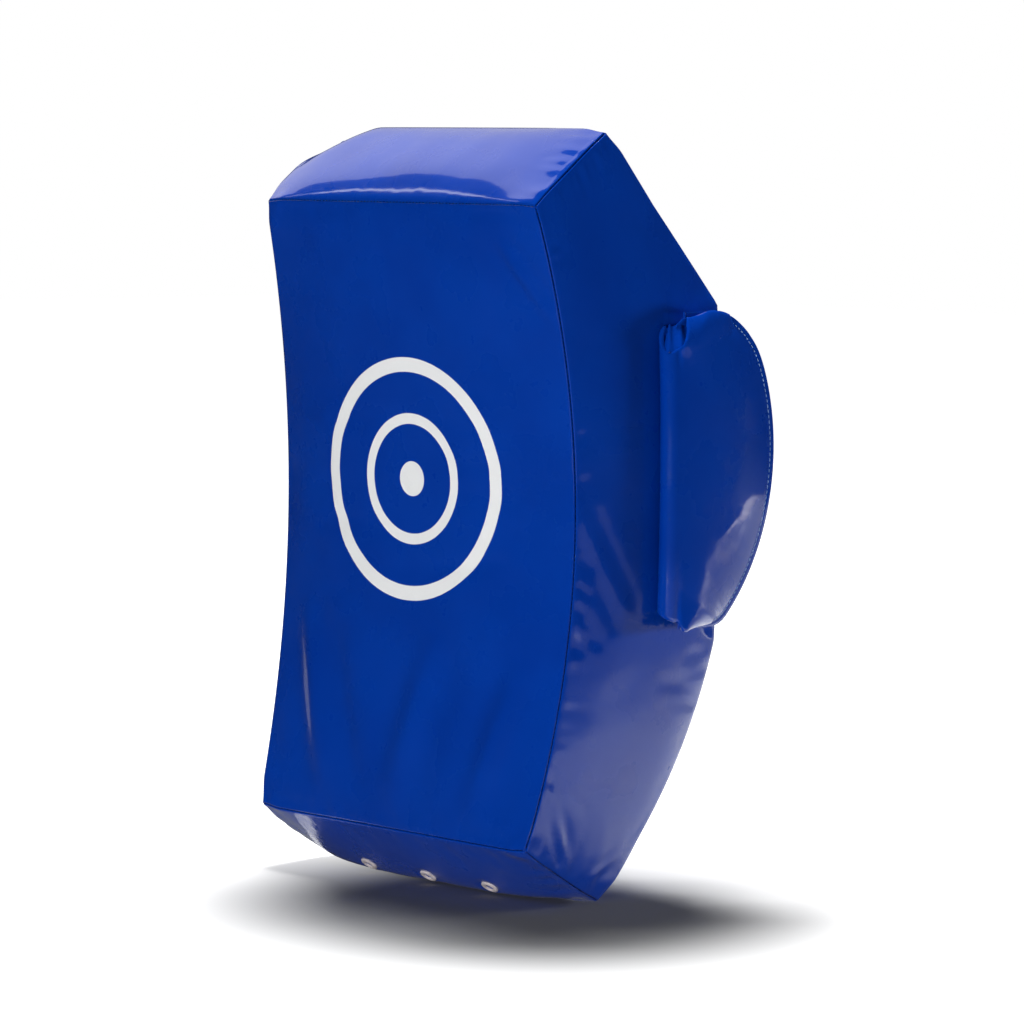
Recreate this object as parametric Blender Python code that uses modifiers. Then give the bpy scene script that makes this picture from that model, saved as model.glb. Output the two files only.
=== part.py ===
"""Tackle shield: a curved wedge of foam in a sewn cover of coated fabric.

The front is hollow along its height, both end faces lean forward, and the back is a
wedge with a flat middle that carries two handles. A padded wing is sewn to each side.
The cover opens with a zip on the lower back, and three eyelets let air out of it.

Metres, +Z up, the front faces -Y. The origin is under the middle of the whole shield.
The side outline is drawn in (y, z) with z measured from the middle of the front.
"""
import math

import bmesh
import bpy
from mathutils import Matrix, Vector
from mathutils.bvhtree import BVHTree

# Body, seen from the side
SEAM_WIDTH = 0.400
SEAM_BOW = 0.0135
FRONT_CHORD = 0.640
FRONT_SAGITTA = 0.050
END_DEPTH = 0.127
TOP_LEAN = math.radians(37.0)
BOTTOM_LEAN = math.radians(30.5)
BACK_DEPTH = 0.260
FLAT_BACK_TOP = 0.220
FLAT_BACK_BOTTOM = -0.125
LOWER_BACK_BOW = 0.020

# Cover
COVER = 0.0012
HEM_DEPTH = 0.005
FRONT_CROWN = 0.020
END_CROWN = 0.014
SIDE_CROWN = 0.010
SLOPE_CROWN = 0.008
BACK_RISE = 0.0006
CLEARANCE = 0.0003

# Foam
STRIKE_FOAM = 0.045
BACK_FOAM = 0.060
FOAM_ROOM = 0.0008
SEAM_ROOM = 0.016

# Wings
WING_FRONT = 0.151
WING_REAR = 0.319
WING_TOP = 0.214
WING_BOTTOM = -0.106
WING_REAR_HEIGHT = 0.068
WING_REAR_RADIUS = 0.232
WING_TOP_RADIUS = 0.040
WING_BOTTOM_RADIUS = 0.034
WING_THICKNESS = 0.024
WING_MOUTH_DEPTH = 0.030
WING_TOP_MOUTH = 0.027
WING_BOTTOM_MOUTH = 0.020
WING_SEAM = 0.006
WING_RIM_LIFT = 0.008
WING_TAPE = 0.012
PAD_ROOM = 0.0008

# Handles
HANDLE_OFFSET = 0.085
HANDLE_LENGTH = 0.300
HANDLE_STANDOFF = 0.044
STRAP = 0.0025
STRAP_WIDTH = 0.038
STRAP_GRIP_WIDTH = 0.026
GRIP_LENGTH = 0.105
GRIP_WIDTH = 0.036
GRIP_DEPTH = 0.026
PATCH_HEIGHT = 0.042
PATCH_WIDTH = 0.052
PATCH_RADIUS = 0.006
LOOP_RUN = 0.062
TAB_RUN = 0.118

# Zip
ZIP_DROP = 0.040
ZIP_OPENING = 0.014
ZIP_END_ROOM = 0.012
TAPE = 0.0008
TAPE_WIDTH = 0.014
COIL_RADIUS = 0.0015
COIL_SPLIT = 0.0018
COIL_END_ROOM = 0.022
SLIDER_LENGTH = 0.016
SLIDER_WIDTH = 0.0105
SLIDER_PLATE = 0.0014
SLIDER_POST = 0.0010
STOP_LENGTH = 0.005
STOP_WIDTH = 0.0085
BAIL_LENGTH = 0.010
BAIL_WIDTH = 0.003
BAIL_WIRE = 0.0012
PULL_WIRE = 0.0008
PULL_LENGTH = 0.030
PULL_WIDTH = 0.009
PULL_THICKNESS = 0.0014

# Eyelets
EYELET_SPACING = 0.090
EYELET_FLANGE = 0.0095
EYELET_BORE = 0.0043
EYELET_WALL = 0.0006
EYELET_RIM = 0.0012
WASHER = 0.0007
WASHER_RADIUS = 0.0085

# Shares of the sizes above
CROWN_POWER_share = 4.0
BACK_PLATEAU_share = 0.2
END_CROWN_POWER_share = 2.5
EYELET_PLACE_share = 0.66
STRAP_CUT_share = 0.65

# Counts
COLUMNS = 10
END_ROWS = 5
FLAT_ROWS = 5
SLOPE_ROWS = 4
LOWER_ROWS = 5
WING_COLUMNS = 6
NOSE_STEPS = 6
ROUND_STEPS = 16

# Cutters run past what they cut by this much
OVERRUN = 0.010

UP = Vector((0.0, 0.0, 1.0))


def clear_scene():
    for old in list(bpy.data.objects):
        bpy.data.objects.remove(old, do_unlink=True)


clear_scene()
PARTS = bpy.data.collections.new("tackle_shield")
CUTTERS = bpy.data.collections.new("cutters")
bpy.context.scene.collection.children.link(PARTS)
bpy.context.scene.collection.children.link(CUTTERS)


def material(name, colour, roughness, metallic=0.0):
    made = bpy.data.materials.new(name)
    made.use_nodes = True
    shader = made.node_tree.nodes["Principled BSDF"]
    shader.inputs["Base Color"].default_value = (*colour, 1.0)
    shader.inputs["Roughness"].default_value = roughness
    shader.inputs["Metallic"].default_value = metallic
    made.diffuse_color = (*colour, 1.0)
    return made


COATED_BLUE = material("coated_blue", (0.0, 0.035, 0.36), 0.30)
FIRM_FOAM = material("firm_foam", (0.10, 0.10, 0.11), 0.90)
SOFT_FOAM = material("soft_foam", (0.62, 0.60, 0.52), 0.95)
BLACK_WEBBING = material("black_webbing", (0.015, 0.015, 0.017), 0.80)
BLACK_RUBBER = material("black_rubber", (0.020, 0.020, 0.022), 0.60)
BLACK_TAPE = material("black_tape", (0.020, 0.020, 0.025), 0.75)
ZIP_METAL = material("zip_metal", (0.45, 0.45, 0.47), 0.35, 1.0)
EYELET_METAL = material("eyelet_metal", (0.80, 0.76, 0.72), 0.25, 1.0)


def add_part(name, mesh_data, finish, collection=PARTS):
    """Make an object from a bmesh or a mesh and put it in a collection."""
    if isinstance(mesh_data, bmesh.types.BMesh):
        mesh = bpy.data.meshes.new(name)
        mesh_data.to_mesh(mesh)
        mesh_data.free()
    else:
        mesh = mesh_data
    made = bpy.data.objects.new(name, mesh)
    mesh.materials.clear()
    if finish is not None:
        mesh.materials.append(finish)
    collection.objects.link(made)
    return made


def cutter(name, bm):
    made = add_part(name, bm, None, CUTTERS)
    made.display_type = "WIRE"
    made.hide_render = True
    return made


def boolean(target, tool, operation):
    step = target.modifiers.new(operation.lower() + "_" + tool.name, "BOOLEAN")
    step.object = tool
    step.operation = operation
    step.solver = "EXACT"


def thicken(target, thickness):
    """Give an outer surface its wall, on the inner side."""
    wall = target.modifiers.new("wall", "SOLIDIFY")
    wall.thickness = thickness
    wall.offset = -1.0
    wall.use_even_offset = True


def hang(piece, point):
    """Put a moving piece's origin on the axis that it moves about or along."""
    piece.data.transform(Matrix.Translation(-point))
    piece.location = point


def box_mesh(size, centre=(0.0, 0.0, 0.0), place=None):
    bm = bmesh.new()
    bmesh.ops.create_cube(bm, size=1.0)
    bmesh.ops.scale(bm, vec=size, verts=bm.verts)
    bmesh.ops.translate(bm, vec=centre, verts=bm.verts)
    if place is not None:
        bmesh.ops.transform(bm, matrix=place, verts=bm.verts)
    return bm


def loft(sections, closed_ends=True):
    """Join loops of equal length into one closed skin, capped at both ends."""
    bm = bmesh.new()
    rings = [[bm.verts.new(point) for point in loop] for loop in sections]
    for first, second in zip(rings, rings[1:]):
        count = len(first)
        for k in range(count):
            n = (k + 1) % count
            bm.faces.new((first[k], first[n], second[n], second[k]))
    if closed_ends:
        bm.faces.new(rings[0])
        bm.faces.new(rings[-1])
    bmesh.ops.recalc_face_normals(bm, faces=bm.faces)
    return bm


# Side outline of the body


def arc_place(edge, share):
    """Point and outward normal at a share of the way along a straight or bowed edge."""
    start, end, bow = edge
    chord = (end - start).length
    along = (end - start) / chord
    out = Vector((-along.y, along.x))
    if abs(bow) == 0.0:
        return start.lerp(end, share), out
    half = 2.0 * math.atan(2.0 * bow / chord)
    radius = chord / (2.0 * math.sin(half))
    angle = half * (2.0 * share - 1.0)
    rise = math.cos(angle) - math.cos(half)
    point = start.lerp(end, 0.5) + radius * (math.sin(angle) * along + rise * out)
    return point, math.sin(angle) * along + math.cos(angle) * out


def body_edges():
    """The six edges of the side outline, each as start, end and outward bow."""
    half = FRONT_CHORD / 2.0
    front_low = Vector((0.0, -half))
    front_high = Vector((0.0, half))
    top_back = front_high + END_DEPTH * Vector((math.cos(TOP_LEAN), math.sin(TOP_LEAN)))
    bottom_back = front_low + END_DEPTH * Vector((math.cos(BOTTOM_LEAN), -math.sin(BOTTOM_LEAN)))
    flat_high = Vector((BACK_DEPTH, FLAT_BACK_TOP))
    flat_low = Vector((BACK_DEPTH, FLAT_BACK_BOTTOM))
    return {
        "front": (front_low, front_high, -FRONT_SAGITTA),
        "top": (front_high, top_back, 0.0),
        "slope": (top_back, flat_high, 0.0),
        "flat": (flat_high, flat_low, 0.0),
        "lower": (flat_low, bottom_back, LOWER_BACK_BOW),
        "bottom": (bottom_back, front_low, 0.0),
    }


EDGES = body_edges()
BASE = EDGES["bottom"][0].y
MIDDLE = WING_REAR / 2.0


def world(x, outline_point):
    """A place on the shield from its x and its (y, z) in the side outline."""
    return Vector((x, outline_point.x - MIDDLE, outline_point.y - BASE))


def half_width(height):
    """Half the distance between the side seams, which bow out at mid height."""
    share = height / (FRONT_CHORD / 2.0)
    return SEAM_WIDTH / 2.0 + SEAM_BOW * max(0.0, 1.0 - share * share)


def inset(point, normals, depth):
    """Move a seam point inwards by one depth from every face that meets there."""
    if len(normals) == 1:
        return point - depth * normals[0]
    first, second = normals
    return point - depth * (first + second) / (1.0 + first.dot(second))


def bump(share, power):
    return 1.0 - abs(share) ** power


def edge_rows(name, shares):
    rows = []
    for share in shares:
        point, normal = arc_place(EDGES[name], share)
        rows.append([point, [normal]])
    return rows


def even(count):
    return [k / count for k in range(count + 1)]


def join_rows(*chains):
    """Run edges together; where two meet, the shared point keeps both normals."""
    rows = [list(row) for row in chains[0]]
    for chain in chains[1:]:
        rows[-1] = [rows[-1][0], rows[-1][1] + chain[0][1]]
        rows.extend(list(row) for row in chain[1:])
    return rows


def zip_shares():
    start, end, bow = EDGES["lower"]
    half = 2.0 * math.atan(2.0 * bow / (end - start).length)
    length = (end - start).length * half / math.sin(half)
    return ZIP_DROP / length, (ZIP_DROP + ZIP_OPENING) / length


ZIP_HIGH, ZIP_LOW = zip_shares()


def outline_rows():
    """Rows of seam points: round the back, up the front, and along both end faces."""
    lower = edge_rows("lower", [0.0, ZIP_HIGH] + [ZIP_LOW + (1.0 - ZIP_LOW) * s for s in even(LOWER_ROWS)])
    flat = edge_rows("flat", even(FLAT_ROWS))
    slope = edge_rows("slope", even(SLOPE_ROWS))
    top = edge_rows("top", even(END_ROWS))
    bottom = edge_rows("bottom", even(END_ROWS))
    back = join_rows(slope, flat, lower)
    low = back[-1][0].y
    high = back[0][0].y
    heights = [(row[0].y - low) / (high - low) for row in reversed(back)]
    front = edge_rows("front", heights)
    loop = join_rows(front, top, back, bottom)
    loop[0] = [loop[0][0], loop[0][1] + loop[-1][1]]
    loop[-1] = loop[0]
    return loop, len(heights) - 1


LOOP, HEIGHT_ROWS = outline_rows()
TOP_START = HEIGHT_ROWS
BACK_START = TOP_START + END_ROWS
BOTTOM_START = BACK_START + HEIGHT_ROWS
SLOPE_END = BACK_START + SLOPE_ROWS
ZIP_UPPER_EDGE = SLOPE_END + FLAT_ROWS + 1
ZIP_LOWER_EDGE = ZIP_UPPER_EDGE + 1

# Cover panels

CROWNS = {
    "front": (FRONT_CROWN, CROWN_POWER_share),
    "top": (END_CROWN, END_CROWN_POWER_share),
    "slope": (SLOPE_CROWN, CROWN_POWER_share),
    "back": (BACK_RISE, None),
    "lower": (0.0, CROWN_POWER_share),
    "bottom": (END_CROWN, END_CROWN_POWER_share),
}


def flat_grid(columns, rows):
    """A grid whose vertices carry whole numbers: column in x, row in y."""
    bm = bmesh.new()
    bmesh.ops.create_grid(bm, x_segments=columns, y_segments=rows, size=1.0)
    bmesh.ops.triangulate(bm, faces=bm.faces, quad_method="FIXED")
    for vert in bm.verts:
        vert.co.x = round((vert.co.x + 1.0) / 2.0 * columns)
        vert.co.y = round((vert.co.y + 1.0) / 2.0 * rows)
    return bm


def plateau(share, row):
    """The flat back stands a little proud, with a level strip between the handles."""
    if not 0 < row < FLAT_ROWS:
        return 0.0
    return min(1.0, (1.0 - abs(share)) / (1.0 - BACK_PLATEAU_share))


def turn_in_edges(bm, columns, rows, free_ends):
    """Add the seam allowance along the grid's sides and along its sewn ends."""
    chosen = []
    for edge in bm.edges:
        if not edge.is_boundary:
            continue
        a, b = (vert.co for vert in edge.verts)
        row = a.y if a.y == b.y else None
        if row is None or row / rows not in free_ends:
            chosen.append(edge)
    made = bmesh.ops.extrude_edge_only(bm, edges=chosen)
    return {item for item in made["geom"] if isinstance(item, bmesh.types.BMVert)}


def cross_point(rows, column, row, depth, crown, power, gap):
    """A place on a panel that runs across the shield, from its column and row."""
    last = len(rows) - 1
    share = 2.0 * column / COLUMNS - 1.0
    at_side = column in (0, COLUMNS)
    point, normals = rows[row]
    width = half_width(point.y)
    x = share * width
    if at_side:
        x -= math.copysign(gap + depth, share)
    own = rows[1][1][0] if row == 0 else rows[last - 1][1][-1] if row == last else sum(
        normals, Vector((0.0, 0.0))).normalized()
    place = inset(point, normals, depth)
    if row == 0:
        place = place + gap * (rows[1][0] - point).normalized()
    if row == last:
        place = place + gap * (rows[last - 1][0] - point).normalized()
    middle = 2.0 * row / last - 1.0
    if power is None:
        rise = plateau(share, row)
    else:
        rise = bump(share, CROWN_POWER_share) * bump(middle, power)
    return world(x, place + crown * rise * own)


def cross_panel(name, crown_name, start, end, free_ends=()):
    """Sew one panel that runs across the shield, with its edges turned in."""
    rows = LOOP[start:end + 1]
    last = len(rows) - 1
    crown, power = CROWNS[crown_name]
    bm = flat_grid(COLUMNS, last)
    turned = turn_in_edges(bm, COLUMNS, last, free_ends)
    for vert in bm.verts:
        depth = HEM_DEPTH if vert in turned else 0.0
        column = round(vert.co.x)
        row = round(vert.co.y)
        if depth and row in (0, last) and row / last in free_ends:
            place = cross_point(rows, column, row, 0.0, 0.0, power, CLEARANCE)
            deep = inset(rows[row][0], rows[row][1][:1], depth)
            deep = deep + CLEARANCE * (rows[1 if row == 0 else last - 1][0] - rows[row][0]).normalized()
            side = math.copysign(depth, place.x)
            vert.co = world(place.x - side, deep)
        else:
            vert.co = cross_point(rows, column, row, depth, crown, power, CLEARANCE)
    panel = add_part(name, bm, COATED_BLUE)
    thicken(panel, COVER)
    return panel


def side_row(row):
    """The front and back seam points that a level of the side panel runs between."""
    return LOOP[row], LOOP[BOTTOM_START - row]


def side_point(column, row, depth, gap):
    """A place on the right side panel, from its column and row."""
    front, back = side_row(row)
    across = column / END_ROWS
    up = row / HEIGHT_ROWS
    on_edge = column in (0, END_ROWS) or row in (0, HEIGHT_ROWS)
    if column == 0:
        seam = front
    elif column == END_ROWS:
        seam = back
    elif row == 0:
        seam = LOOP[len(LOOP) - 1 - column]
    elif row == HEIGHT_ROWS:
        seam = LOOP[TOP_START + column]
    else:
        seam = [front[0].lerp(back[0], across), [Vector((0.0, 0.0))]]
    width = (1.0 - across) * half_width(front[0].y) + across * half_width(back[0].y)
    if on_edge:
        width = half_width(seam[0].y)
        return world(width - depth, inset(seam[0], seam[1], depth + gap))
    rise = SIDE_CROWN * bump(2.0 * across - 1.0, CROWN_POWER_share) * bump(2.0 * up - 1.0, CROWN_POWER_share)
    return world(width - depth + rise, seam[0])


def side_panel(name, side):
    bm = flat_grid(END_ROWS, HEIGHT_ROWS)
    turned = turn_in_edges(bm, END_ROWS, HEIGHT_ROWS, ())
    for vert in bm.verts:
        depth = HEM_DEPTH if vert in turned else 0.0
        vert.co = side_point(round(vert.co.x), round(vert.co.y), depth, CLEARANCE)
        vert.co.x *= side
    if side < 0:
        bmesh.ops.reverse_faces(bm, faces=bm.faces)
    panel = add_part(name, bm, COATED_BLUE)
    thicken(panel, COVER)
    return panel


front_panel = cross_panel("front_panel", "front", 0, TOP_START)
top_panel = cross_panel("top_panel", "top", TOP_START, BACK_START)
upper_back_panel = cross_panel("upper_back_panel", "slope", BACK_START, SLOPE_END)
back_panel = cross_panel("back_panel", "back", SLOPE_END, ZIP_UPPER_EDGE, free_ends=(1.0,))
lower_back_panel = cross_panel("lower_back_panel", "lower", ZIP_LOWER_EDGE, BOTTOM_START, free_ends=(0.0,))
bottom_panel = cross_panel("bottom_panel", "bottom", BOTTOM_START, len(LOOP) - 1)
right_side_panel = side_panel("right_side_panel", 1.0)
left_side_panel = side_panel("left_side_panel", -1.0)

# Foam

FOAM_DEPTH = COVER + FOAM_ROOM


def add_patch(whole, columns, last, place):
    """Add a grid of places to the foam's skin and return its vertices by column and row."""
    bm = flat_grid(columns, last)
    keys = [(round(vert.co.x), round(vert.co.y)) for vert in bm.verts]
    for vert, key in zip(bm.verts, keys):
        vert.co = place(*key)
    piece = bpy.data.meshes.new("patch")
    bm.to_mesh(piece)
    bm.free()
    start = len(whole.verts)
    whole.from_mesh(piece)
    bpy.data.meshes.remove(piece)
    whole.verts.ensure_lookup_table()
    return {key: whole.verts[start + k] for k, key in enumerate(keys)}


def cut_back(place, columns, last):
    """Pull a patch's border in along its facets, which leaves room for the seams."""
    def moved(column, row):
        own = place(column, row)
        across = min(max(column, 1), columns - 1)
        up = min(max(row, 1), last - 1)
        if column != across and row != up:
            sideways = (place(across, row) - own).normalized()
            upwards = (place(column, up) - own).normalized()
            return own + SEAM_ROOM * (sideways + upwards)
        if column != across or row != up:
            return own + SEAM_ROOM * (place(across, up) - own).normalized()
        return own
    return moved


def foam_skin():
    """The whole foam, just inside the cover, with a chamfer along every seam."""
    whole = bmesh.new()
    spans = (("front", 0, TOP_START), ("top", TOP_START, BACK_START), ("slope", BACK_START, SLOPE_END),
             ("back", SLOPE_END, BOTTOM_START), ("bottom", BOTTOM_START, len(LOOP) - 1))
    patches = []
    for crown_name, start, end in spans:
        rows = LOOP[start:end + 1]
        crown, power = CROWNS[crown_name]

        def across(column, row, rows=rows, crown=crown, power=power):
            return cross_point(rows, column, row, FOAM_DEPTH, crown, power, 0.0)

        patches.append((start, end, add_patch(whole, COLUMNS, end - start, cut_back(across, COLUMNS, end - start))))
    for (_start, end, first), (start, _end, second) in zip(patches, patches[1:] + patches[:1]):
        last = max(row for _column, row in first)
        for column in range(COLUMNS):
            whole.faces.new((first[column, last], first[column + 1, last], second[column + 1, 0], second[column, 0]))
    for side, column in ((1.0, COLUMNS), (-1.0, 0)):

        def beside(across, up, side=side):
            place = side_point(across, up, FOAM_DEPTH, 0.0)
            place.x *= side
            return place

        flank = add_patch(whole, END_ROWS, HEIGHT_ROWS, cut_back(beside, END_ROWS, HEIGHT_ROWS))
        ring = side_ring(flank)
        line = []
        for start, end, patch in patches:
            line.extend((index % len(ring), patch[column, index - start]) for index in range(start, end + 1))
        for (i, first), (j, second) in zip(line, line[1:] + line[:1]):
            corners = (first, second, ring[j], ring[i]) if i != j else (first, second, ring[i])
            whole.faces.new(corners)
    bmesh.ops.recalc_face_normals(whole, faces=whole.faces)
    return whole


def side_ring(flank):
    """The side patch's border vertices, in the order of the outline's rows."""
    ring = [flank[0, row] for row in range(HEIGHT_ROWS)]
    ring += [flank[column, HEIGHT_ROWS] for column in range(END_ROWS)]
    ring += [flank[END_ROWS, HEIGHT_ROWS - row] for row in range(HEIGHT_ROWS)]
    ring += [flank[END_ROWS - column, 0] for column in range(END_ROWS)]
    return ring


def front_block(name, depth):
    """A block in front of the curved line that parts the two front foams."""
    centre = Vector((FRONT_SAGITTA, 0.0)) - Vector((front_radius(), 0.0))
    radius = front_radius() + depth
    reach = FRONT_CHORD / 2.0 + END_DEPTH
    swing = math.asin(min(1.0, reach / radius))
    outline = []
    for share in even(HEIGHT_ROWS + END_ROWS):
        angle = swing * (2.0 * share - 1.0)
        outline.append(centre + radius * Vector((math.cos(angle), math.sin(angle))))
    outline.append(Vector((-OVERRUN, outline[-1].y)))
    outline.append(Vector((-OVERRUN, outline[0].y)))
    out = SEAM_WIDTH / 2.0 + SEAM_BOW + SIDE_CROWN + OVERRUN
    return cutter(name, loft([[world(-out, p) for p in outline], [world(out, p) for p in outline]]))


def front_radius():
    half = FRONT_CHORD / 2.0
    return (half * half + FRONT_SAGITTA * FRONT_SAGITTA) / (2.0 * FRONT_SAGITTA)


def back_block(name, start):
    """A block behind an upright plane, which parts the back foam from the core."""
    out = SEAM_WIDTH / 2.0 + SEAM_BOW + SIDE_CROWN + OVERRUN
    high = FRONT_CHORD + END_DEPTH + OVERRUN
    deep = BACK_DEPTH - start + OVERRUN
    bm = box_mesh((out * 2.0, deep, high * 2.0))
    centre = world(0.0, Vector((start + deep / 2.0, 0.0)))
    bmesh.ops.translate(bm, vec=centre, verts=bm.verts)
    return cutter(name, bm)


FOAM_SKIN = bpy.data.meshes.new("foam_skin")
foam_bm = foam_skin()
foam_bm.to_mesh(FOAM_SKIN)
foam_bm.free()
strike_block = front_block("strike_block", FOAM_DEPTH + STRIKE_FOAM)
strike_clear = front_block("strike_clear", FOAM_DEPTH + STRIKE_FOAM + CLEARANCE)
back_keep = back_block("back_keep", BACK_DEPTH - BACK_FOAM + CLEARANCE)
back_clear = back_block("back_clear", BACK_DEPTH - BACK_FOAM)


def foam_piece(name, finish):
    return add_part(name, FOAM_SKIN.copy(), finish)


strike_foam = foam_piece("strike_foam", FIRM_FOAM)
boolean(strike_foam, strike_block, "INTERSECT")
core_foam = foam_piece("core_foam", SOFT_FOAM)
boolean(core_foam, strike_clear, "DIFFERENCE")
boolean(core_foam, back_clear, "DIFFERENCE")
back_foam = foam_piece("back_foam", FIRM_FOAM)
boolean(back_foam, back_keep, "INTERSECT")

# Wings

NOSE = WING_THICKNESS / 2.0
WING_AXIS = WING_FRONT + NOSE


def side_surface(y, z):
    """How far out the right side panel stands at a place in the side outline."""
    up = (z - LOOP[0][0].y) / (LOOP[TOP_START][0].y - LOOP[0][0].y)
    across = 0.5
    for _ in range(HEIGHT_ROWS):
        front, _normal = arc_place(EDGES["front"], up)
        back = back_seam(up)
        across = (y - front.x) / (back.x - front.x)
        level = (1.0 - across) * front.y + across * back.y
        up += (z - level) / FRONT_CHORD
    width = (1.0 - across) * half_width(front.y) + across * half_width(back.y)
    rise = SIDE_CROWN * bump(2.0 * across - 1.0, CROWN_POWER_share) * bump(2.0 * up - 1.0, CROWN_POWER_share)
    return width + rise


def back_seam(up):
    """The back seam at a share of its height."""
    low = EDGES["bottom"][0]
    high = EDGES["slope"][0]
    level = low.y + up * (high.y - low.y)
    points = [row[0] for row in LOOP[BACK_START:BOTTOM_START + 1]]
    for above, below in zip(points, points[1:]):
        if level >= below.y:
            return below.lerp(above, (level - below.y) / (above.y - below.y))
    return points[-1]


def rim_curve():
    """The wing's sewn edge, from its lower mouth round the rear to its upper mouth."""
    centre = Vector((WING_REAR - WING_REAR_RADIUS, WING_REAR_HEIGHT))
    corners = []
    for level, radius, way in ((WING_BOTTOM, WING_BOTTOM_RADIUS, 1.0), (WING_TOP, WING_TOP_RADIUS, -1.0)):
        middle_z = level + way * radius
        reach = WING_REAR_RADIUS - radius
        drop = middle_z - centre.y
        middle = Vector((centre.x + math.sqrt(reach * reach - drop * drop), middle_z))
        turn = math.atan2(middle.y - centre.y, middle.x - centre.x)
        corners.append((middle, radius, turn))
    (low, low_radius, low_turn), (high, high_radius, high_turn) = corners
    start = Vector((WING_FRONT + WING_MOUTH_DEPTH, WING_BOTTOM))
    end = Vector((WING_FRONT + WING_MOUTH_DEPTH, WING_TOP))
    points = [start, start.lerp(Vector((low.x, WING_BOTTOM)), 0.5)]
    points += turn_points(low, low_radius, -math.pi / 2.0, low_turn, SLOPE_ROWS)
    points += turn_points(centre, WING_REAR_RADIUS, low_turn, high_turn, HEIGHT_ROWS // 2)[1:]
    points += turn_points(high, high_radius, high_turn, math.pi / 2.0, SLOPE_ROWS)[1:]
    points += [end.lerp(Vector((high.x, WING_TOP)), 0.5), end]
    return points


def turn_points(centre, radius, start, end, steps):
    angles = [start + (end - start) * share for share in even(steps)]
    return [centre + radius * Vector((math.cos(a), math.sin(a))) for a in angles]


def pulled_in(points, distance):
    """The same open curve moved in by one distance, square to itself."""
    moved = []
    for k, point in enumerate(points):
        before = points[max(0, k - 1)]
        after = points[min(len(points) - 1, k + 1)]
        along = (after - before).normalized()
        moved.append(point + distance * Vector((-along.y, along.x)))
    return moved


RIM = rim_curve()
STITCH_LINE = pulled_in(RIM, WING_SEAM)
WING_ROWS = len(RIM) - 1


def wing_front_height(row):
    low = WING_BOTTOM + WING_BOTTOM_MOUTH
    high = WING_TOP - WING_TOP_MOUTH
    return low + (high - low) * row / WING_ROWS


def wing_base(row):
    """Where the wing's inner face starts, just off the tape on the side panel."""
    return side_surface(WING_AXIS, wing_front_height(row)) + COVER + 2.0 * CLEARANCE


WING_BASE = max(wing_base(row) for row in range(WING_ROWS + 1))
RIM_PLANE = WING_BASE + WING_RIM_LIFT
WING_PIVOT = world(WING_BASE + NOSE, Vector((WING_AXIS, 0.0)))


def across_wing(row, share):
    """A place between the wing's front line and its stitch line."""
    front = Vector((WING_AXIS, wing_front_height(row)))
    return front.lerp(STITCH_LINE[row], share)


def outer_height(row, share, skin):
    """The outer face's distance from the shield; skin is how deep under it."""
    top = wing_base(row) + WING_THICKNESS
    rim = RIM_PLANE + CLEARANCE / 2.0 + COVER
    return rim + (top - rim) * bump(share, CROWN_POWER_share) - skin


def inner_height(row, share, skin):
    """The inner face's distance from the shield; skin is how deep inside it."""
    rim = RIM_PLANE - CLEARANCE / 2.0 - COVER
    return wing_base(row) + (rim - wing_base(row)) * share + skin


def nose_points(row, skin, steps=NOSE_STEPS):
    """Half round the rolled front edge, from the inner face to the outer face."""
    radius = NOSE - skin
    middle_x = wing_base(row) + NOSE
    places = []
    for share in even(steps):
        angle = math.pi * share
        point = Vector((WING_AXIS - radius * math.sin(angle), wing_front_height(row)))
        places.append((middle_x - radius * math.cos(angle), point))
    return places


def outer_row(row):
    """One level of the outer cover: tape, rolled front edge, crown, stitched rim."""
    height = wing_front_height(row)
    places = [(wing_base(row), Vector((WING_AXIS + WING_TAPE, height)))]
    places += nose_points(row, 0.0)
    for share in even(WING_COLUMNS)[1:]:
        places.append((outer_height(row, share, 0.0), across_wing(row, share)))
    places.append((outer_height(row, 1.0, 0.0), RIM[row]))
    return places


def inner_row(row):
    """One level of the inner cover, from behind the tape to the stitched rim."""
    start = (WING_TAPE + CLEARANCE) / (STITCH_LINE[row].x - WING_AXIS)
    places = []
    for share in even(WING_COLUMNS // 2):
        at = start + (1.0 - start) * share
        places.append((inner_height(row, at, 0.0), across_wing(row, at)))
    places.append((inner_height(row, 1.0, 0.0), RIM[row]))
    return places


def sheet(name, rows, side, outward, finish):
    """A sheet through rows of places; outward is the side its outer face looks to."""
    bm = flat_grid(len(rows[0]) - 1, len(rows) - 1)
    for vert in bm.verts:
        x, point = rows[round(vert.co.y)][round(vert.co.x)]
        vert.co = world(x * side, point)
    bm.normal_update()
    highest = max(bm.faces, key=lambda face: face.calc_center_median().x * side)
    if highest.normal.x * side * outward < 0.0:
        bmesh.ops.reverse_faces(bm, faces=bm.faces)
    made = add_part(name, bm, finish)
    thicken(made, COVER)
    return made


def wing_pad_section(row):
    """One closed level of the wing's foam, clear of both covers."""
    skin = COVER + CLEARANCE + PAD_ROOM
    end = WING_COLUMNS - 1
    places = nose_points(row, skin)
    for k in range(1, end + 1):
        share = k / WING_COLUMNS
        places.append((outer_height(row, share, skin), across_wing(row, share)))
    for k in range(end, 0, -2):
        share = k / WING_COLUMNS
        places.append((inner_height(row, share, skin + PAD_ROOM), across_wing(row, share)))
    return places


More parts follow.
